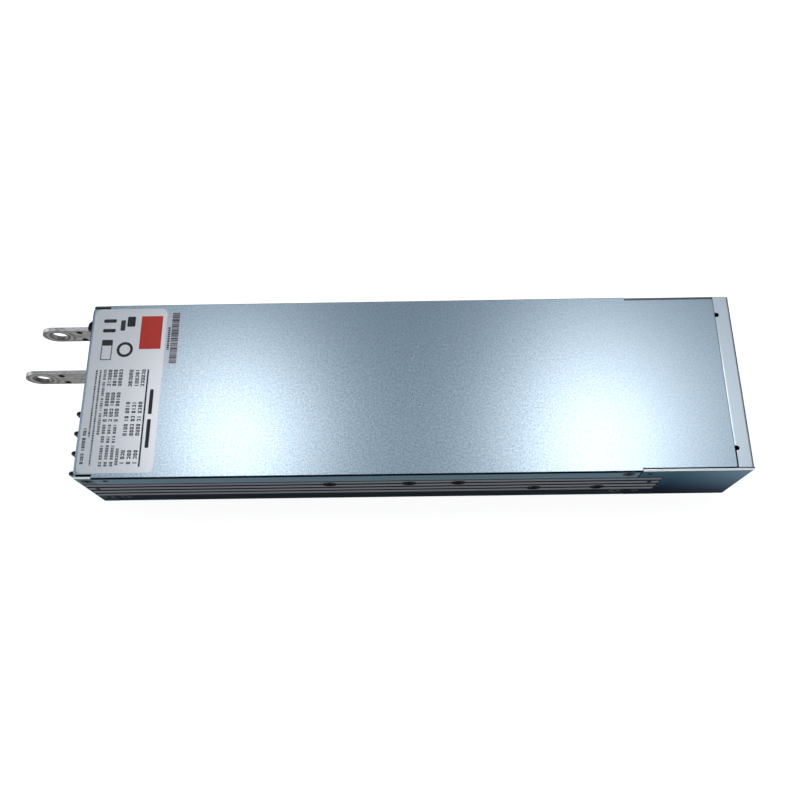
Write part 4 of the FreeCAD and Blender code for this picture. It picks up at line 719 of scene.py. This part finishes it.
# plain shapes in the row of marks
frame_ring(black, rect(-136.9, -129.3, 15.7, 23.3, 3.75, 12), rect(-135.6, -130.6, 17.0, 22.0, 2.45, 12), FACE_Z, PRINT_Z)
slab(black, rect(-133.2, -129.4, 31.2, 36.4, 0.5, 3), FACE_Z, PRINT_Z)
slab(grey, rect(-136.2, -134.0, 29.2, 34.6, 0.4, 3), FACE_Z, PRINT_Z)
frame_ring(grey, rect(-144.2, -139.1, 14.3, 24.6, 0.5, 3), rect(-143.8, -139.5, 14.7, 24.2, 0.35, 3), FACE_Z, PRINT_Z)
slab(black, rect(-143.8, -139.5, 21.6, 24.2, 0.3, 2), FACE_Z, PRINT_Z)
slab(black, rect(-144.4, -138.4, 33.4, 35.2, 0.6, 3), FACE_Z, PRINT_Z)
slab(black, rect(-144.4, -138.4, 28.4, 30.2, 0.6, 3), FACE_Z, PRINT_Z)

new_piece("label_print_black", black, "ink")
new_piece("label_print_grey", grey, "ink_grey")
new_piece("label_print_red", red, "ink_red")

# strip of plain bars
bars = bmesh.new()
y = 38.0
while y > 12.1:
    w = rng.choice((0.26, 0.30, 0.46, 0.62))
    slab(bars, rect(-112.0, -108.6, y - w, y), FACE_Z, PRINT_Z)
    y -= w + rng.choice((0.16, 0.2, 0.32))
words(bars, -113.6, -112.5, 30.6, 19.0, 0.5, 1.0, 0.3)
new_piece("serial_print", bars, "ink_grey")

# -------------------------------------------------------------- the stage

bm = bmesh.new()
bmesh.ops.create_grid(bm, x_segments=2, y_segments=2, size=4.0)
me = bpy.data.meshes.new("floor")
bm.to_mesh(me)
bm.free()
floor = bpy.data.objects.new("floor", me)
floor.location.z = -0.0002
scene.collection.objects.link(floor)
fm = Mat("floor_white")
fm.set("Base Color", fm.ramp(fm.noise(6.0, 2.0, 0.5), [(0.3, (0.50, 0.50, 0.50)), (0.7, (0.53, 0.53, 0.53))]))
fm.set("Roughness", 0.9)
fm.set("Emission Color", (1.0, 1.0, 1.0, 1.0))
fm.set("Emission Strength", 0.86)
fm.set("Specular IOR Level", 0.0)
me.materials.append(fm.m)

world = bpy.data.worlds.new("studio")
scene.world = world
world.use_nodes = True
wt = world.node_tree
wt.nodes.clear()
wo = wt.nodes.new("ShaderNodeOutputWorld")
bg = wt.nodes.new("ShaderNodeBackground")
wt.links.new(bg.outputs["Background"], wo.inputs["Surface"])
tc = wt.nodes.new("ShaderNodeTexCoord")
sep = wt.nodes.new("ShaderNodeSeparateXYZ")
wt.links.new(tc.outputs["Generated"], sep.inputs["Vector"])


def wmath(op, a, b=0.0):
    n = wt.nodes.new("ShaderNodeMath")
    n.operation = op
    for k, v in enumerate((a, b)):
        if isinstance(v, bpy.types.NodeSocket):
            wt.links.new(v, n.inputs[k])
        else:
            n.inputs[k].default_value = v
    return n.outputs["Value"]


# sky from the horizon behind the case, over the top, to the horizon in front
turn = wmath("DIVIDE", wmath("ARCTAN2", sep.outputs["Z"], sep.outputs["Y"]), math.pi)
arc = wt.nodes.new("ShaderNodeValToRGB")
el = arc.color_ramp.elements
SKY = [(0.0, (2.4, 2.4, 2.4)), (34.0, (2.1, 2.1, 2.1)), (50.0, (0.06, 0.10, 0.14)), (62.0, (0.020, 0.062, 0.098)),
       (76.0, (0.065, 0.130, 0.188)), (84.0, (0.15, 0.23, 0.29)), (92.0, (0.03, 0.03, 0.035)), (142.0, (0.03, 0.03, 0.03)),
       (160.0, (0.9, 0.9, 0.9)), (180.0, (1.5, 1.5, 1.5))]
while len(el) > 1:
    el.remove(el[-1])
for i, (deg, c) in enumerate(SKY):
    e = el[0] if i == 0 else el.new(deg / 180.0)
    e.position = deg / 180.0
    e.color = (c[0], c[1], c[2], 1.0)
wt.links.new(turn, arc.inputs["Fac"])
flank = wt.nodes.new("ShaderNodeMapRange")
flank.clamp = True
flank.interpolation_type = "SMOOTHSTEP"
for k, v in (("From Min", 0.70), ("From Max", 0.90), ("To Min", 0.0), ("To Max", 1.0)):
    flank.inputs[k].default_value = v
wt.links.new(wmath("ABSOLUTE", sep.outputs["X"]), flank.inputs["Value"])
blend = wt.nodes.new("ShaderNodeMix")
blend.data_type = "RGBA"
blend.clamp_result = False
wt.links.new(flank.outputs["Result"], blend.inputs["Factor"])
wt.links.new(arc.outputs["Color"], blend.inputs[6])
blend.inputs[7].default_value = (2.0, 2.0, 2.0, 1.0)
wt.links.new(blend.outputs[2], bg.inputs["Color"])
bg.inputs["Strength"].default_value = 1.0


def softbox(name, at, to, size, power, color=(1, 1, 1)):
    d = bpy.data.lights.new(name, "AREA")
    d.shape = "RECTANGLE"
    d.size, d.size_y = size
    d.energy = power
    d.color = color
    o = bpy.data.objects.new(name, d)
    o.location = at
    o.rotation_euler = (Vector(to) - Vector(at)).to_track_quat("-Z", "Y").to_euler()
    scene.collection.objects.link(o)
    return o


for name, x, y, size, power in (("box_left", -0.397, 0.436, (0.202, 0.278), 1.06), ("box_left_back", -0.411, 0.664, (0.276, 0.139), 0.072),
                                ("box_right", 0.416, 0.405, (0.256, 0.360), 1.29), ("box_right_back", 0.405, 0.708, (0.160, 0.225), 0.134),
                                ("box_right_end", 0.80, 0.450, (0.22, 0.42), 0.14)):
    softbox(name, (x, y, 1.5), (x, y, 0.0), size, power, (1.03, 1.0, 0.99))
